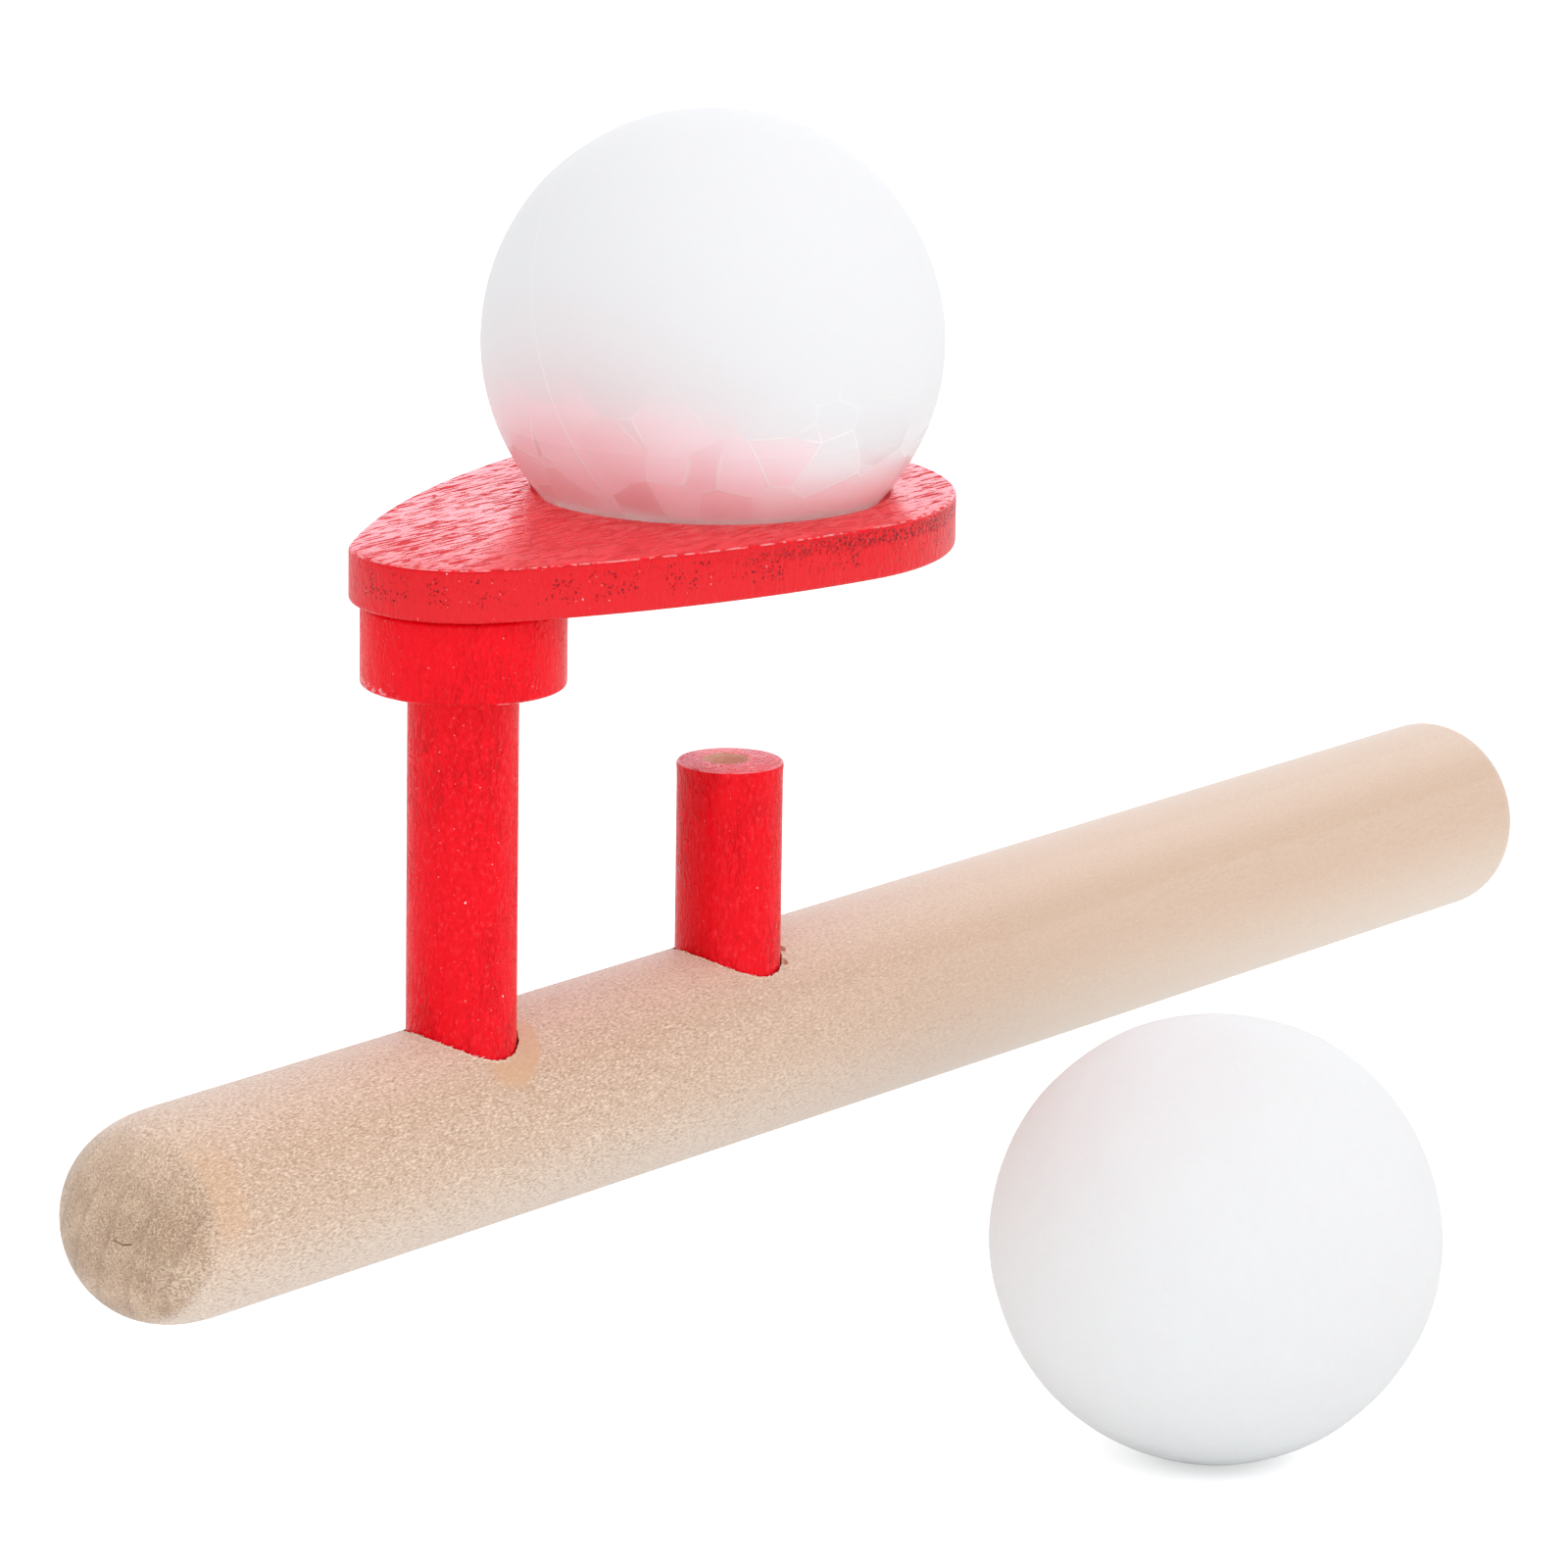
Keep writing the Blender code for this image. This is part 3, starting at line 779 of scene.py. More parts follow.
def add_dust(tree, place, colour):
    """Fine pale dots everywhere and a few longer white specks."""
    fine = both(tree, flecks(tree, place, 1900.0, 0.11, 0.30), 0.55)
    colour = blend_colours(tree, fine, colour, DUST)
    upright = vector_math(tree, "MULTIPLY", place, (1.0, 1.0, 0.55))
    return blend_colours(tree, flecks(tree, upright, 560.0, 0.042, 0.34), colour, SPECK)


def dowel_paint(name, ridge_colour, ridge_height, speckles):
    """Red paint over upright grain: its ridges in colour and relief, and its light speckles."""
    material, tree, paint = new_material(name)
    place, (_, _, z) = object_place(tree)
    ridges = grain(tree, place, (1900.0, 1900.0, 620.0), 1.0, 0.9)
    patches = spread(tree, grain(tree, place, (210.0, 210.0, 110.0), 1.0), 0.38, 0.62, 0.25, 1.0)
    mottle = grain(tree, place, (3100.0, 3100.0, 2000.0), 4.0, 0.3)
    valleys = both(tree, spread(tree, ridges, 0.52, 0.28, 0.0, ridge_colour), patches)
    colour = blend_colours(tree, valleys, RED, DEEP_RED)
    colour = blend_colours(tree, spread(tree, mottle, 0.47, 0.30, 0.0, 0.6), colour, DEEP_RED)
    colour = blend_colours(tree, spread(tree, mottle, 0.53, 0.68, 0.0, speckles), colour, LIGHT_RED)
    colour = add_dust(tree, place, colour)
    relief = both(tree, spread(tree, ridges, 0.40, 0.60), patches, ridge_height)
    tree.links.new(spread(tree, mottle, 0.3, 0.7, 0.34, 0.20), paint.inputs["Roughness"])
    bump = add_node(tree, "Bump", {"Strength": 1.0, "Distance": 0.22 * MM, "Height": relief})
    tree.links.new(bump.outputs[0], paint.inputs["Normal"])
    paint.inputs["Specular IOR Level"].default_value = DOWEL_GLOSS
    print(name, "has", len(tree.nodes), "nodes")
    return material, tree, paint, colour, place, z


# %% [markdown]
# ## Paint of the post and nozzle
# The nozzle's paint is painted darker on the side towards the post, as painted shade, and a thin
# pale line round its top is a painted highlight on the rim. Both pieces share one material, so the
# distance to the nozzle says where these are.
# Two materials would do as well, but every later change would then have to be made twice.

# %% Post and nozzle paint
NOZZLE_SHADE_SIDE = (-0.8, 0.6, 0.0)
NOZZLE_RIM_HIGHLIGHT = (0.97, 0.36, 0.40, 1)

red_dowel, tree, paint, colour, place, z = dowel_paint("red_dowel_paint", 0.65, 0.50, 0.9)
from_top = measure(tree, "DISTANCE", place, (nozzle_middle.x, nozzle_middle.y, nozzle_high.z))
painted_light_share = grain(tree, place, (700.0, 700.0, 700.0), 3.0)
shaded_side = vector_math(tree, "SUBTRACT", place, tuple(nozzle_middle))
shaded_side = measure(tree, "DOT_PRODUCT", shaded_side, NOZZLE_SHADE_SIDE)
# The side towards the post is painted darker: painted shade.
painted_post_shade = both(
    tree, spread(tree, shaded_side, 0.8 * MM, 4.2 * MM, 0.0, 0.6),
    spread(tree, shaded_side, 9.0 * MM, 7.0 * MM),
)
colour = blend_colours(tree, painted_post_shade, colour, DEEP_RED)
# A thin pale line round the nozzle's top: a painted highlight on its rounded rim.
rim_line = both(
    tree, spread(tree, z, nozzle_high.z - 0.20 * MM, nozzle_high.z - 0.12 * MM),
    spread(tree, from_top, 4.42 * MM, 4.50 * MM), spread(tree, from_top, 5.5 * MM, 5.4 * MM),
    spread(tree, painted_light_share, 0.36, 0.52, 0.2, 0.8),
)
colour = blend_colours(tree, rim_line, colour, NOZZLE_RIM_HIGHLIGHT)
tree.links.new(colour, paint.inputs["Base Color"])
print("with its worn places it has", len(tree.nodes), "nodes")

# %% [markdown]
# ## Paint of the collar
# The collar is smoother than the dowels. Its paint is chipped along part of its lower edge, paler in
# some flakes and darker in others, and a paler broken line runs along the corner.
# One noise shakes the border of the chips and also picks their colour, so both fit together.

# %% Collar paint
collar_low, collar_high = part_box("collar")
COLLAR_RADIUS = (collar_high.x - collar_low.x) / 2
CHIPPED_TURN = math.radians(158)
PALE_CHIP, DARK_CHIP = (0.93, 0.27, 0.30, 1), (0.46, 0.002, 0.006, 1)
COLLAR_PALE_LINE = (0.97, 0.30, 0.32, 1)

red_collar, tree, paint, colour, place, z = dowel_paint("red_collar_paint", 0.25, 0.50, 0.35)
from_axis = vector_math(tree, "SUBTRACT", place, (post_middle.x, post_middle.y, 0.0))
chipped_side = (math.cos(CHIPPED_TURN), math.sin(CHIPPED_TURN), 0.0)
towards_chips = measure(tree, "DOT_PRODUCT", from_axis, chipped_side)
flakes = grain(tree, place, (900.0, 900.0, 1100.0), 3.0, 0.4)
edge_z = calculate(tree, "MULTIPLY_ADD", flakes, -1.2 * MM, calculate(tree, "ADD", z, 0.6 * MM))
chipped = both(
    tree, spread(tree, edge_z, collar_low.z + 0.95 * MM, collar_low.z + 0.75 * MM),
    spread(tree, towards_chips, 0.90 * COLLAR_RADIUS, 0.96 * COLLAR_RADIUS),
)
colour = blend_colours(tree, both(tree, chipped, spread(tree, flakes, 0.50, 0.60)), colour, PALE_CHIP)
colour = blend_colours(tree, both(tree, chipped, spread(tree, flakes, 0.45, 0.36)), colour, DARK_CHIP)
rim_line = both(
    tree, spread(tree, z, collar_low.z + 0.02 * MM, collar_low.z + 0.06 * MM),
    spread(tree, z, collar_low.z + 0.20 * MM, collar_low.z + 0.12 * MM, 0.0, 0.8),
    spread(tree, grain(tree, place, (330.0, 330.0, 330.0), 2.0), 0.42, 0.55),
)
colour = blend_colours(tree, rim_line, colour, COLLAR_PALE_LINE)
tree.links.new(colour, paint.inputs["Base Color"])
print("with its chips it has", len(tree.nodes), "nodes")

# %% [markdown]
# ## Post
# The post is a plain 9.4 mm dowel with a small chamfer at each hidden end, which lets it slide into
# its socket. A cylinder with two bevels would do, but the turning helper says it in four points.

# %% Post
DOWEL_SIDES = 96
POST_CHAMFER = 0.6 * MM

profile = [(post_low.z, POST_RADIUS - POST_CHAMFER), (post_low.z + POST_CHAMFER, POST_RADIUS)]
profile += [(post_high.z - POST_CHAMFER, POST_RADIUS), (post_high.z, POST_RADIUS - POST_CHAMFER)]
post_foot = (post_middle.x, post_middle.y, 0)
post = turn_piece("red_post", red_dowel, profile, DOWEL_SIDES, (0, 0, 1), post_foot)
finish_piece(post, "toy", "post")

# %% [markdown]
# ## Nozzle
# The nozzle is a short dowel with a 4 mm air hole, drilled a little off its middle and not quite
# round. Paint has gathered into a slight bead round its top. The drill is a cylinder with its points
# shaken, so that the hole has a rough rim, and the hole shows bare wood.

# %% Nozzle
NOZZLE_RIM = 0.3 * MM
NOZZLE_BORE = 2.05 * MM
BORE_SIDES, BORE_SHAKE = 24, 0.12 * MM
BEAD_HEIGHT = 0.9 * MM
BEAD_SWELL = 0.05 * MM
BORE_SHIFT = Vector((0.07 * MM, 0.55 * MM, 0.0))

profile = [(nozzle_low.z, NOZZLE_RADIUS), (nozzle_high.z - 2 * BEAD_HEIGHT, NOZZLE_RADIUS)]
profile += [(nozzle_high.z - BEAD_HEIGHT, NOZZLE_RADIUS + 0.3 * BEAD_SWELL)]
profile += [
    (nozzle_high.z - drop, NOZZLE_RADIUS + BEAD_SWELL - inset)
    for inset, drop in reversed(quarter_round(NOZZLE_RIM, 4))
]
nozzle_foot = (nozzle_middle.x, nozzle_middle.y, 0)
nozzle = turn_piece("red_nozzle", red_dowel, profile, DOWEL_SIDES, (0, 0, 1), nozzle_foot)
nozzle_drill = begin(
    bpy.ops.mesh.primitive_cylinder_add, "nozzle_drill", vertices=BORE_SIDES, radius=NOZZLE_BORE,
    depth=40 * MM,
    location=Vector((nozzle_middle.x, nozzle_middle.y, nozzle_high.z - 10 * MM)) + BORE_SHIFT,
)
shake_points(nozzle_drill, BORE_SHAKE, 4)
cut_away(nozzle, nozzle_drill, drilled)
finish_piece(nozzle, "toy", "nozzle")

# %% [markdown]
# ## Collar
# The collar is a disc that takes the head of the post, because the plate is too thin to hold it.
# Its edges are eased by a small round, a bore from below takes the post, and a few nicks are cut
# out of the lower edge where the paint has chipped.

# %% Collar
COLLAR_ROUND = 0.4 * MM
COLLAR_SIDES = 128
NICK_TURNS = (137, 146, 157, 164, 175)

rounded = quarter_round(COLLAR_ROUND, 4)
profile = [(collar_low.z + drop, COLLAR_RADIUS - inset) for inset, drop in rounded]
profile += [(collar_high.z - drop, COLLAR_RADIUS - inset) for inset, drop in reversed(rounded)]
collar = turn_piece("red_collar", red_collar, profile, COLLAR_SIDES, (0, 0, 1), post_foot)
collar_drill = begin(
    bpy.ops.mesh.primitive_cylinder_add, "collar_drill", vertices=DRILL_SIDES,
    radius=POST_RADIUS + SOCKET_GAP, depth=20 * MM,
    location=(post_middle.x, post_middle.y, post_high.z + SOCKET_GAP - 10 * MM),
)
cut_away(collar, collar_drill, drilled)
chance = random.Random(12)
for turn in NICK_TURNS:
    angle = math.radians(turn)
    reach = COLLAR_RADIUS + chance.uniform(0.0, 0.12) * MM
    spot = (post_middle.x + reach * math.cos(angle), post_middle.y + reach * math.sin(angle), collar_low.z)
    nick = begin(
        bpy.ops.mesh.primitive_ico_sphere_add, "nick_cutter", subdivisions=1,
        radius=chance.uniform(0.25, 0.45) * MM, location=spot, rotation=(angle, turn, 0.5),
    )
    cut_away(collar, nick, red_collar)
finish_piece(collar, "toy", "collar")

# %% [markdown]
# ## Red paint on the plate
# The plate has the same paint over plywood. Its top shows short fine furrows along the pipe. They are
# rough while the paint between them is smooth, so they stand out in the sheen and all but vanish
# where there is none. The edge is deeper in colour and shows the open pores of the middle ply, dense
# at the wide end. Along the upper edge and the rim of the hole a thin pale line is painted in, partly
# worn paint and partly a painted highlight of the rounded edges.

# %% Plate paint
plate_low, plate_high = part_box("platform")
PLATE_GLOSS = 0.36
FURROW_RED, PORE_RED = (0.52, 0.0012, 0.0052, 1), (0.30, 0.0008, 0.0045, 1)
HIGHLIT_AND_WORN_RED = (0.96, 0.42, 0.43, 1)

red_plate, tree, paint = new_material("red_plate_paint")
place, (x, _, z) = object_place(tree)
below_top = calculate(tree, "SUBTRACT", plate_high.z, z)
top_lines = grain(tree, place, (420.0, 3800.0, 3800.0), 1.0, 0.2)
edge_lines = grain(tree, place, (2300.0, 2300.0, 700.0), 1.0, 0.9)
on_edge = spread(tree, below_top, 0.10 * MM, 0.30 * MM)
lines = both(tree, edge_lines, on_edge, 0.45)
mottle = grain(tree, place, (3400.0, 3400.0, 3400.0), 3.0, 0.3)
furrows = both(tree, spread(tree, top_lines, 0.48, 0.42), spread(tree, below_top, 0.30 * MM, 0.10 * MM))
colour = blend_colours(tree, both(tree, furrows, 0.35), RED, FURROW_RED)
colour = blend_colours(tree, spread(tree, mottle, 0.47, 0.30, 0.0, 0.5), colour, DEEP_RED)
colour = blend_colours(tree, spread(tree, mottle, 0.56, 0.78, 0.0, 0.2), colour, LIGHT_RED)

ply_band = spread(tree, below_top, 0.25 * MM, 0.45 * MM)
ply_band = both(tree, ply_band, spread(tree, below_top, 1.9 * MM, 1.2 * MM))
clusters = spread(tree, grain(tree, place, (420.0, 420.0, 300.0), 2.0), 0.42, 0.60)
wide_end = spread(tree, x, -84 * MM, -62 * MM)
pores = both(tree, flecks(tree, place, 4400.0, 0.50, 1.0), ply_band, wide_end)
middle_ply = spread(tree, below_top, 0.5 * MM, 0.9 * MM)
middle_ply = both(tree, middle_ply, spread(tree, below_top, 3.6 * MM, 2.8 * MM))
few_pores = both(tree, flecks(tree, place, 3800.0, 0.36, 0.75), middle_ply, clusters)
pores = calculate(tree, "MAXIMUM", pores, few_pores)
colour = blend_colours(tree, both(tree, on_edge, 0.32), colour, DEEP_RED)
colour = blend_colours(tree, pores, colour, PORE_RED)
# A thin pale line on the rounded edges: worn paint and a painted highlight.
highlit_and_worn = both(
    tree, spread(tree, below_top, 0.02 * MM, 0.05 * MM), spread(tree, below_top, 0.16 * MM, 0.11 * MM),
    spread(tree, grain(tree, place, (1100.0, 1100.0, 1100.0), 4.0), 0.44, 0.56, 0.0, 0.75),
)
colour = blend_colours(tree, highlit_and_worn, colour, HIGHLIT_AND_WORN_RED)
colour = add_dust(tree, place, colour)
tree.links.new(colour, paint.inputs["Base Color"])
rough = calculate(tree, "MAXIMUM", spread(tree, furrows, 0.0, 1.0, 0.20, 0.75), both(tree, on_edge, 0.32))
tree.links.new(rough, paint.inputs["Roughness"])
relief = calculate(tree, "MULTIPLY_ADD", pores, -0.35, lines)
relief = calculate(tree, "MULTIPLY_ADD", furrows, -0.17, relief)
bump = add_node(tree, "Bump", {"Strength": 1.0, "Distance": 0.30 * MM, "Height": relief})
tree.links.new(bump.outputs[0], paint.inputs["Normal"])
paint.inputs["Specular IOR Level"].default_value = PLATE_GLOSS
print("plate paint has", len(tree.nodes), "nodes")

# %% [markdown]
# ## Plate
# The plate's outline is four arcs that touch each other: a wide one round the hole, a small one
# round the post and a flat one on each side. A drawn curve would only come near it. So the centres
# of the side arcs are worked out, and a single point is spun round each arc's centre in turn.

# %% Plate outline
WIDE_RADIUS = (plate_high.y - plate_low.y) / 2
PLATE_Y = (plate_high.y + plate_low.y) / 2
SIDE_RADIUS = 95.0 * MM
NARROW_RADIUS = post_middle.x - plate_low.x
HOLE_X = plate_high.x - WIDE_RADIUS
RIM_WIDTH = 5.7 * MM
HOLE_RADIUS = WIDE_RADIUS - RIM_WIDTH
PLATE_ROUND = 0.4 * MM
HOLE_ROUND = 0.4 * MM
WIDE_STEPS, SIDE_STEPS, NARROW_STEPS = 96, 28, 40
SAME_PLACE = 0.01 * MM


def spin_point(centre_x, centre_y, angle, steps):
    """Sweeps the selected point round a centre, anticlockwise."""
    centre = (centre_x, PLATE_Y + centre_y, plate_low.z)
    bpy.ops.mesh.spin(steps=steps, angle=-angle, center=centre, axis=(0, 0, 1))


post_to_hole = HOLE_X - post_middle.x
to_wide, to_narrow = SIDE_RADIUS - WIDE_RADIUS, SIDE_RADIUS - NARROW_RADIUS
side_x = (to_narrow**2 - to_wide**2 - post_to_hole**2) / (2 * post_to_hole)
side_y = -math.sqrt(to_wide**2 - side_x**2)
leave_wide = math.atan2(-side_y, -side_x)
meet_narrow = math.atan2(-side_y, -post_to_hole - side_x)

start_x = HOLE_X + WIDE_RADIUS * math.cos(leave_wide)
start_y = PLATE_Y - WIDE_RADIUS * math.sin(leave_wide)
plate = begin(
    bpy.ops.mesh.primitive_plane_add, "pear_plate", red_plate, size=1 * MM,
    location=(start_x, start_y, plate_low.z),
)
bpy.ops.object.mode_set(mode="EDIT")
bpy.ops.mesh.select_all(action="SELECT")
bpy.ops.mesh.merge(type="CENTER")
spin_point(HOLE_X, 0.0, 2 * leave_wide, WIDE_STEPS)
spin_point(HOLE_X + side_x, side_y, meet_narrow - leave_wide, SIDE_STEPS)
spin_point(post_middle.x, 0.0, 2 * (math.pi - meet_narrow), NARROW_STEPS)
spin_point(HOLE_X + side_x, -side_y, meet_narrow - leave_wide, SIDE_STEPS)
bpy.ops.mesh.select_all(action="SELECT")
bpy.ops.mesh.remove_doubles(threshold=SAME_PLACE)
outline_points = WIDE_STEPS + 2 * SIDE_STEPS + NARROW_STEPS
print("outline spun through", outline_points, "points")

# %% [markdown]
# ## Plate hole, thickness and rounded rims
# The hole is a second loop with as many points as the outline, so that bridging the two gives a flat
# ring of quads. It is extruded to the plate's thickness. Then the rims are found in code, as level
# edges between faces that meet at a sharp angle, and bevelled, first the outline's, then the hole's.

# %% Plate hole, thickness and rounded rims
RIM_ANGLE = math.radians(60)
RIM_SEGMENTS = 5

bpy.ops.mesh.primitive_circle_add(
    vertices=outline_points, radius=HOLE_RADIUS, fill_type="NOTHING",
    location=(HOLE_X, PLATE_Y, plate_low.z),
)
bpy.ops.mesh.select_all(action="SELECT")
bpy.ops.mesh.bridge_edge_loops()
bpy.ops.mesh.select_all(action="SELECT")
bpy.ops.mesh.extrude_region_move(TRANSFORM_OT_translate={"value": (0, 0, plate_high.z - plate_low.z)})
bpy.ops.mesh.select_all(action="SELECT")
bpy.ops.mesh.normals_make_consistent(inside=False)


def round_rims(width, is_hole):
    """Bevels the hole's rims or the outline's."""
    mesh = bmesh.from_edit_mesh(plate.data)
    for edge in mesh.edges:
        level = abs(edge.verts[0].co.z - edge.verts[1].co.z) < SAME_PLACE
        rim = level and edge.calc_face_angle(0.0) > RIM_ANGLE
        ends = [math.hypot(v.co.x - HOLE_X, v.co.y - PLATE_Y) for v in edge.verts]
        inner = max(ends) < HOLE_RADIUS + 0.5 * MM
        edge.select_set(rim and inner == is_hole)
    mesh.select_flush_mode()
    bmesh.update_edit_mesh(plate.data)
    bpy.ops.mesh.bevel(offset=width, segments=RIM_SEGMENTS, affect="EDGES")


bpy.ops.mesh.select_mode(type="EDGE")
bpy.ops.mesh.select_all(action="DESELECT")
round_rims(PLATE_ROUND, False)
bpy.ops.mesh.select_all(action="DESELECT")
round_rims(HOLE_ROUND, True)
bpy.ops.mesh.select_mode(type="VERT")
bpy.ops.object.mode_set(mode="OBJECT")
finish_piece(plate, "toy", "platform")

# %% [markdown]
# ## Foam
# The balls are moulded from foam beads that swell against each other, so each bead is a cell with a
# fine raised seam round it. A Voronoi pattern in space gives the cells, and a second one its borders.
# The seams show mostly on the lower side of the resting ball, so they are faded out above it.
# A mould line runs once round that ball: the places that lie on a tilted plane.

# %% Foam beads and seams
BEADS_PER_METRE = 215.0
SEAM_NORMAL = Vector((-0.013, -0.927, 0.375))
SEAM_OFFSET = -2.0 * MM

ball_low, ball_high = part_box("ball")
ball_middle = (ball_low + ball_high) / 2
foam, tree, beads = new_material("white_bead_foam")
place, (x, _, z) = object_place(tree)
bead_inputs = {"Vector": place, "Scale": BEADS_PER_METRE}
cells = add_node(tree, "TexVoronoi", bead_inputs, feature="F1")
edges = add_node(tree, "TexVoronoi", bead_inputs, feature="DISTANCE_TO_EDGE")
blotches = grain(tree, place, (160.0, 160.0, 160.0), 2.0)
lots = vector_math(tree, "SUBTRACT", cells.outputs["Color"], (0.5, 0.5, 0.5))
seam = spread(tree, edges.outputs["Distance"], 0.028, 0.008)

from_middle = vector_math(tree, "SUBTRACT", place, tuple(ball_middle))
above_seam = measure(tree, "DOT_PRODUCT", from_middle, SEAM_NORMAL)
above_seam = calculate(tree, "ABSOLUTE", calculate(tree, "SUBTRACT", above_seam, SEAM_OFFSET))
on_ball = measure(tree, "LENGTH", from_middle)
is_ball = spread(tree, on_ball, 22 * MM, 21 * MM)
seam_fade = spread(tree, z, ball_middle.z + 4 * MM, ball_middle.z - 6 * MM, 0.2, 1.0)
mould_line = both(tree, spread(tree, above_seam, 0.14 * MM, 0.05 * MM), is_ball, seam_fade)
lower_side = both(tree, spread(tree, z, ball_middle.z + 2 * MM, ball_middle.z - 9 * MM), is_ball)
broken = spread(tree, lower_side, 0.0, 1.0, 0.03, 1.0)
bead_seams = both(tree, seam, spread(tree, blotches, 0.42, 0.58), broken)
ridges = calculate(tree, "MAXIMUM", bead_seams, mould_line)
print("beads and seams have", len(tree.nodes), "nodes")

# %% [markdown]
# ## Foam colour
# A pink band is painted up the resting ball's lower side towards the post, bead by bead, as a
# painted reflection of the red plate, and its foot on the plate is painted paler again, as painted
# light coming through the foam. These stay on the ball when it is lifted. The loose ball is painted
# bluer and lighter on its side towards the toy and greyer on its lit side: painted light and shade.
# Both balls share one material, and the distance to the resting ball's middle tells them apart.

# %% Foam colour
LIT_SIDE = (0.55, -0.70, 0.45)
BEAD_STEP = 1.6 * MM
RED_REFLECTION_SLOPE = 0.3
FOAM_PAINTED_LIGHTER, FOAM_PAINTED_DARKER = (0.856, 0.890, 0.906, 1), (0.806, 0.814, 0.824, 1)
CLEAN_FOAM, PAINTED_RED_REFLECTION = (0.814, 0.820, 0.834, 1), (1.0, 0.815, 0.862, 1)
FOOT_PAINTED_LIGHT, RIM_PAINTED_LIGHT = (1.0, 0.91, 0.93, 1), (1.0, 0.98, 0.98, 1)
SEAM_PAINTED_HIGHLIGHT = (0.97, 0.95, 0.95, 1)

# The loose ball is painted lighter and bluer away from its lit side and greyer towards it: painted light
# and shade.
from_spare = vector_math(tree, "SUBTRACT", place, tuple((spare_low + spare_high) / 2))
towards_lit_side = measure(tree, "DOT_PRODUCT", from_spare, LIT_SIDE)
towards_lit_side = calculate(tree, "MULTIPLY_ADD", blotches, 4 * MM, towards_lit_side)
colour = blend_colours(tree, spread(tree, towards_lit_side, -12 * MM, 18 * MM), FOAM_PAINTED_LIGHTER, FOAM_PAINTED_DARKER)
colour = blend_colours(tree, is_ball, colour, CLEAN_FOAM)
# A pink band on the lower side, bead by bead: a painted reflection of the red plate.
bead_lot = add_node(tree, "SeparateXYZ", {0: lots}).outputs[0]
from_post = calculate(tree, "SUBTRACT", x, ball_middle.x)
red_reflection_edge = calculate(tree, "MULTIPLY_ADD", from_post, RED_REFLECTION_SLOPE, z)
red_reflection_edge = calculate(tree, "MULTIPLY_ADD", bead_lot, BEAD_STEP, red_reflection_edge)
painted_light_share = both(
    tree, spread(tree, red_reflection_edge, ball_middle.z - 5.3 * MM, ball_middle.z - 13.0 * MM), is_ball,
    spread(tree, z, plate_low.z, plate_high.z - 1 * MM), spread(tree, bead_lot, -0.4, 0.4, 1.0, 0.5),
)
colour = blend_colours(tree, painted_light_share, colour, PAINTED_RED_REFLECTION)
# The seams are paler: partly the foam's own seams and partly a painted highlight on the raised ridges.
colour = blend_colours(tree, both(tree, ridges, 0.8), colour, SEAM_PAINTED_HIGHLIGHT)
# The foot of the resting ball above the plate is painted paler and whiter: painted light coming through the
# foam.
near_plate = both(tree, spread(tree, z, plate_high.z - 0.6 * MM, plate_high.z - 0.3 * MM), is_ball)
painted_foot_light = spread(tree, z, plate_high.z + 3.2 * MM, plate_high.z + 0.4 * MM, 0.0, 0.9)
colour = blend_colours(tree, both(tree, painted_foot_light, near_plate), colour, FOOT_PAINTED_LIGHT)
painted_rim_light = both(tree, spread(tree, z, plate_high.z + 0.55 * MM, plate_high.z + 0.35 * MM), near_plate)
colour = blend_colours(tree, painted_rim_light, colour, RIM_PAINTED_LIGHT)
tree.links.new(colour, beads.inputs["Base Color"])
print("with its colour the foam has", len(tree.nodes), "nodes")

# %% [markdown]
# ## Foam skin
# Each bead is a shallow dome tilted a little its own way, so the smooth lower side mirrors the red
# plate bead by bead. Modelling every bead would take many faces, so the normal leans by a random
# amount per cell. Light goes a little way into the foam, which softens the shading. The loose ball
# has been played with and carries soft dents.

# %% Foam skin
BEAD_LEAN = 0.30
DENT_DEPTH = 14.0

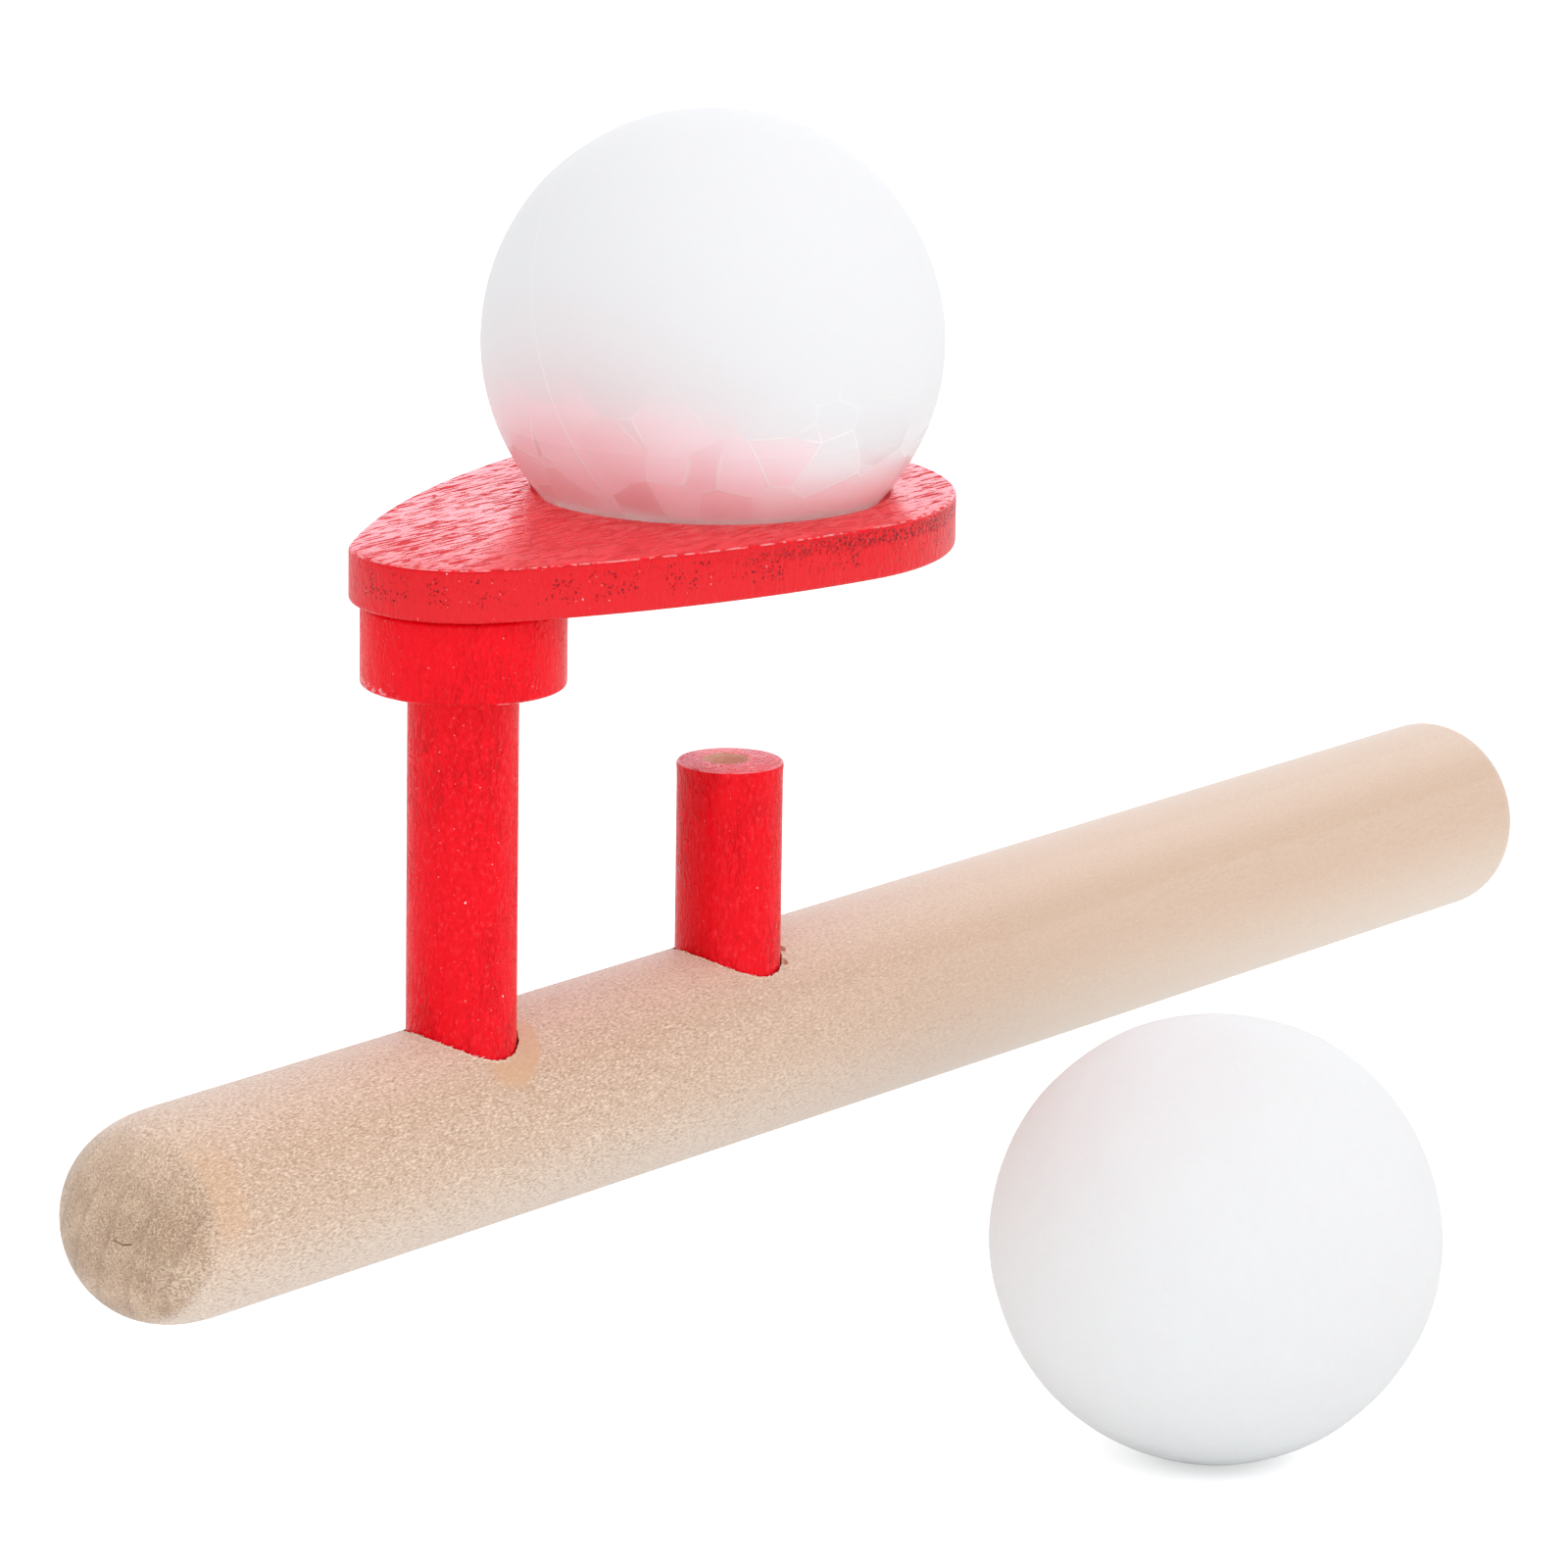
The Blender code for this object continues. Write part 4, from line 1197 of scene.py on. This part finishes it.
tree.links.new(spread(tree, lower_side, 0.0, 1.0, 0.62, 0.26), beads.inputs["Roughness"])
beads.inputs["Specular IOR Level"].default_value = 0.25
beads.inputs["Subsurface Weight"].default_value = 0.8
beads.inputs["Subsurface Radius"].default_value = (1.2, 1.0, 1.1)
beads.inputs["Subsurface Scale"].default_value = 4.5 * MM
lean = vector_math(tree, "MULTIPLY", lots, both(tree, broken, BEAD_LEAN))
outward = add_node(tree, "NewGeometry").outputs["Normal"]
leaning = vector_math(tree, "NORMALIZE", vector_math(tree, "ADD", outward, lean), (0, 0, 0))
dented = spread(tree, is_ball, 0.0, 1.0, DENT_DEPTH, 0.0)
dents = both(tree, grain(tree, place, (200.0, 200.0, 200.0), 3.0), dented)
relief = calculate(tree, "ADD", ridges, dents)
bump_inputs = {"Strength": 1.0, "Distance": 0.03 * MM, "Height": relief, "Normal": leaning}
bump = add_node(tree, "Bump", bump_inputs)
tree.links.new(bump.outputs[0], beads.inputs["Normal"])
print("foam has", len(tree.nodes), "nodes")

# %% [markdown]
# ## Foam balls
# A fine sphere of triangles has no poles. The mould leaves it slightly uneven, which an applied
# displacement from a cloud texture gives, more on the loose ball that has been played with.
# Real bead foam lets much light through. The shader can't carry it across a whole ball, so the
# resting ball casts no shadow, or its underside and the plate round it would be far too dark.

# %% Foam balls
BALL_FINENESS = 6
MOULD_GRAIN = 14.0 * MM
MOULD_LEVEL = 0.65
RESTING_UNEVENNESS = 0.2 * MM
LOOSE_UNEVENNESS = 0.4 * MM


def make_foam_ball(name, node, body, unevenness):
    """A bead-foam ball in the place of a CAD ball."""
    low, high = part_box(node)
    ball = begin(
        bpy.ops.mesh.primitive_ico_sphere_add, name, foam, subdivisions=BALL_FINENESS,
        radius=(high.z - low.z) / 2, location=(low + high) / 2,
    )
    mould = bpy.data.textures.new(name + "_mould", "CLOUDS")
    mould.noise_scale = MOULD_GRAIN
    apply_modifier(
        ball, "DISPLACE", texture=mould, texture_coords="GLOBAL", strength=unevenness, mid_level=MOULD_LEVEL
    )
    finish_piece(ball, body, node, angle=60.0)
    return ball


foam_ball = make_foam_ball("foam_ball", "ball", "ball", RESTING_UNEVENNESS)
foam_ball.visible_shadow = False
make_foam_ball("loose_foam_ball", "spare_ball", "spare_ball", LOOSE_UNEVENNESS)
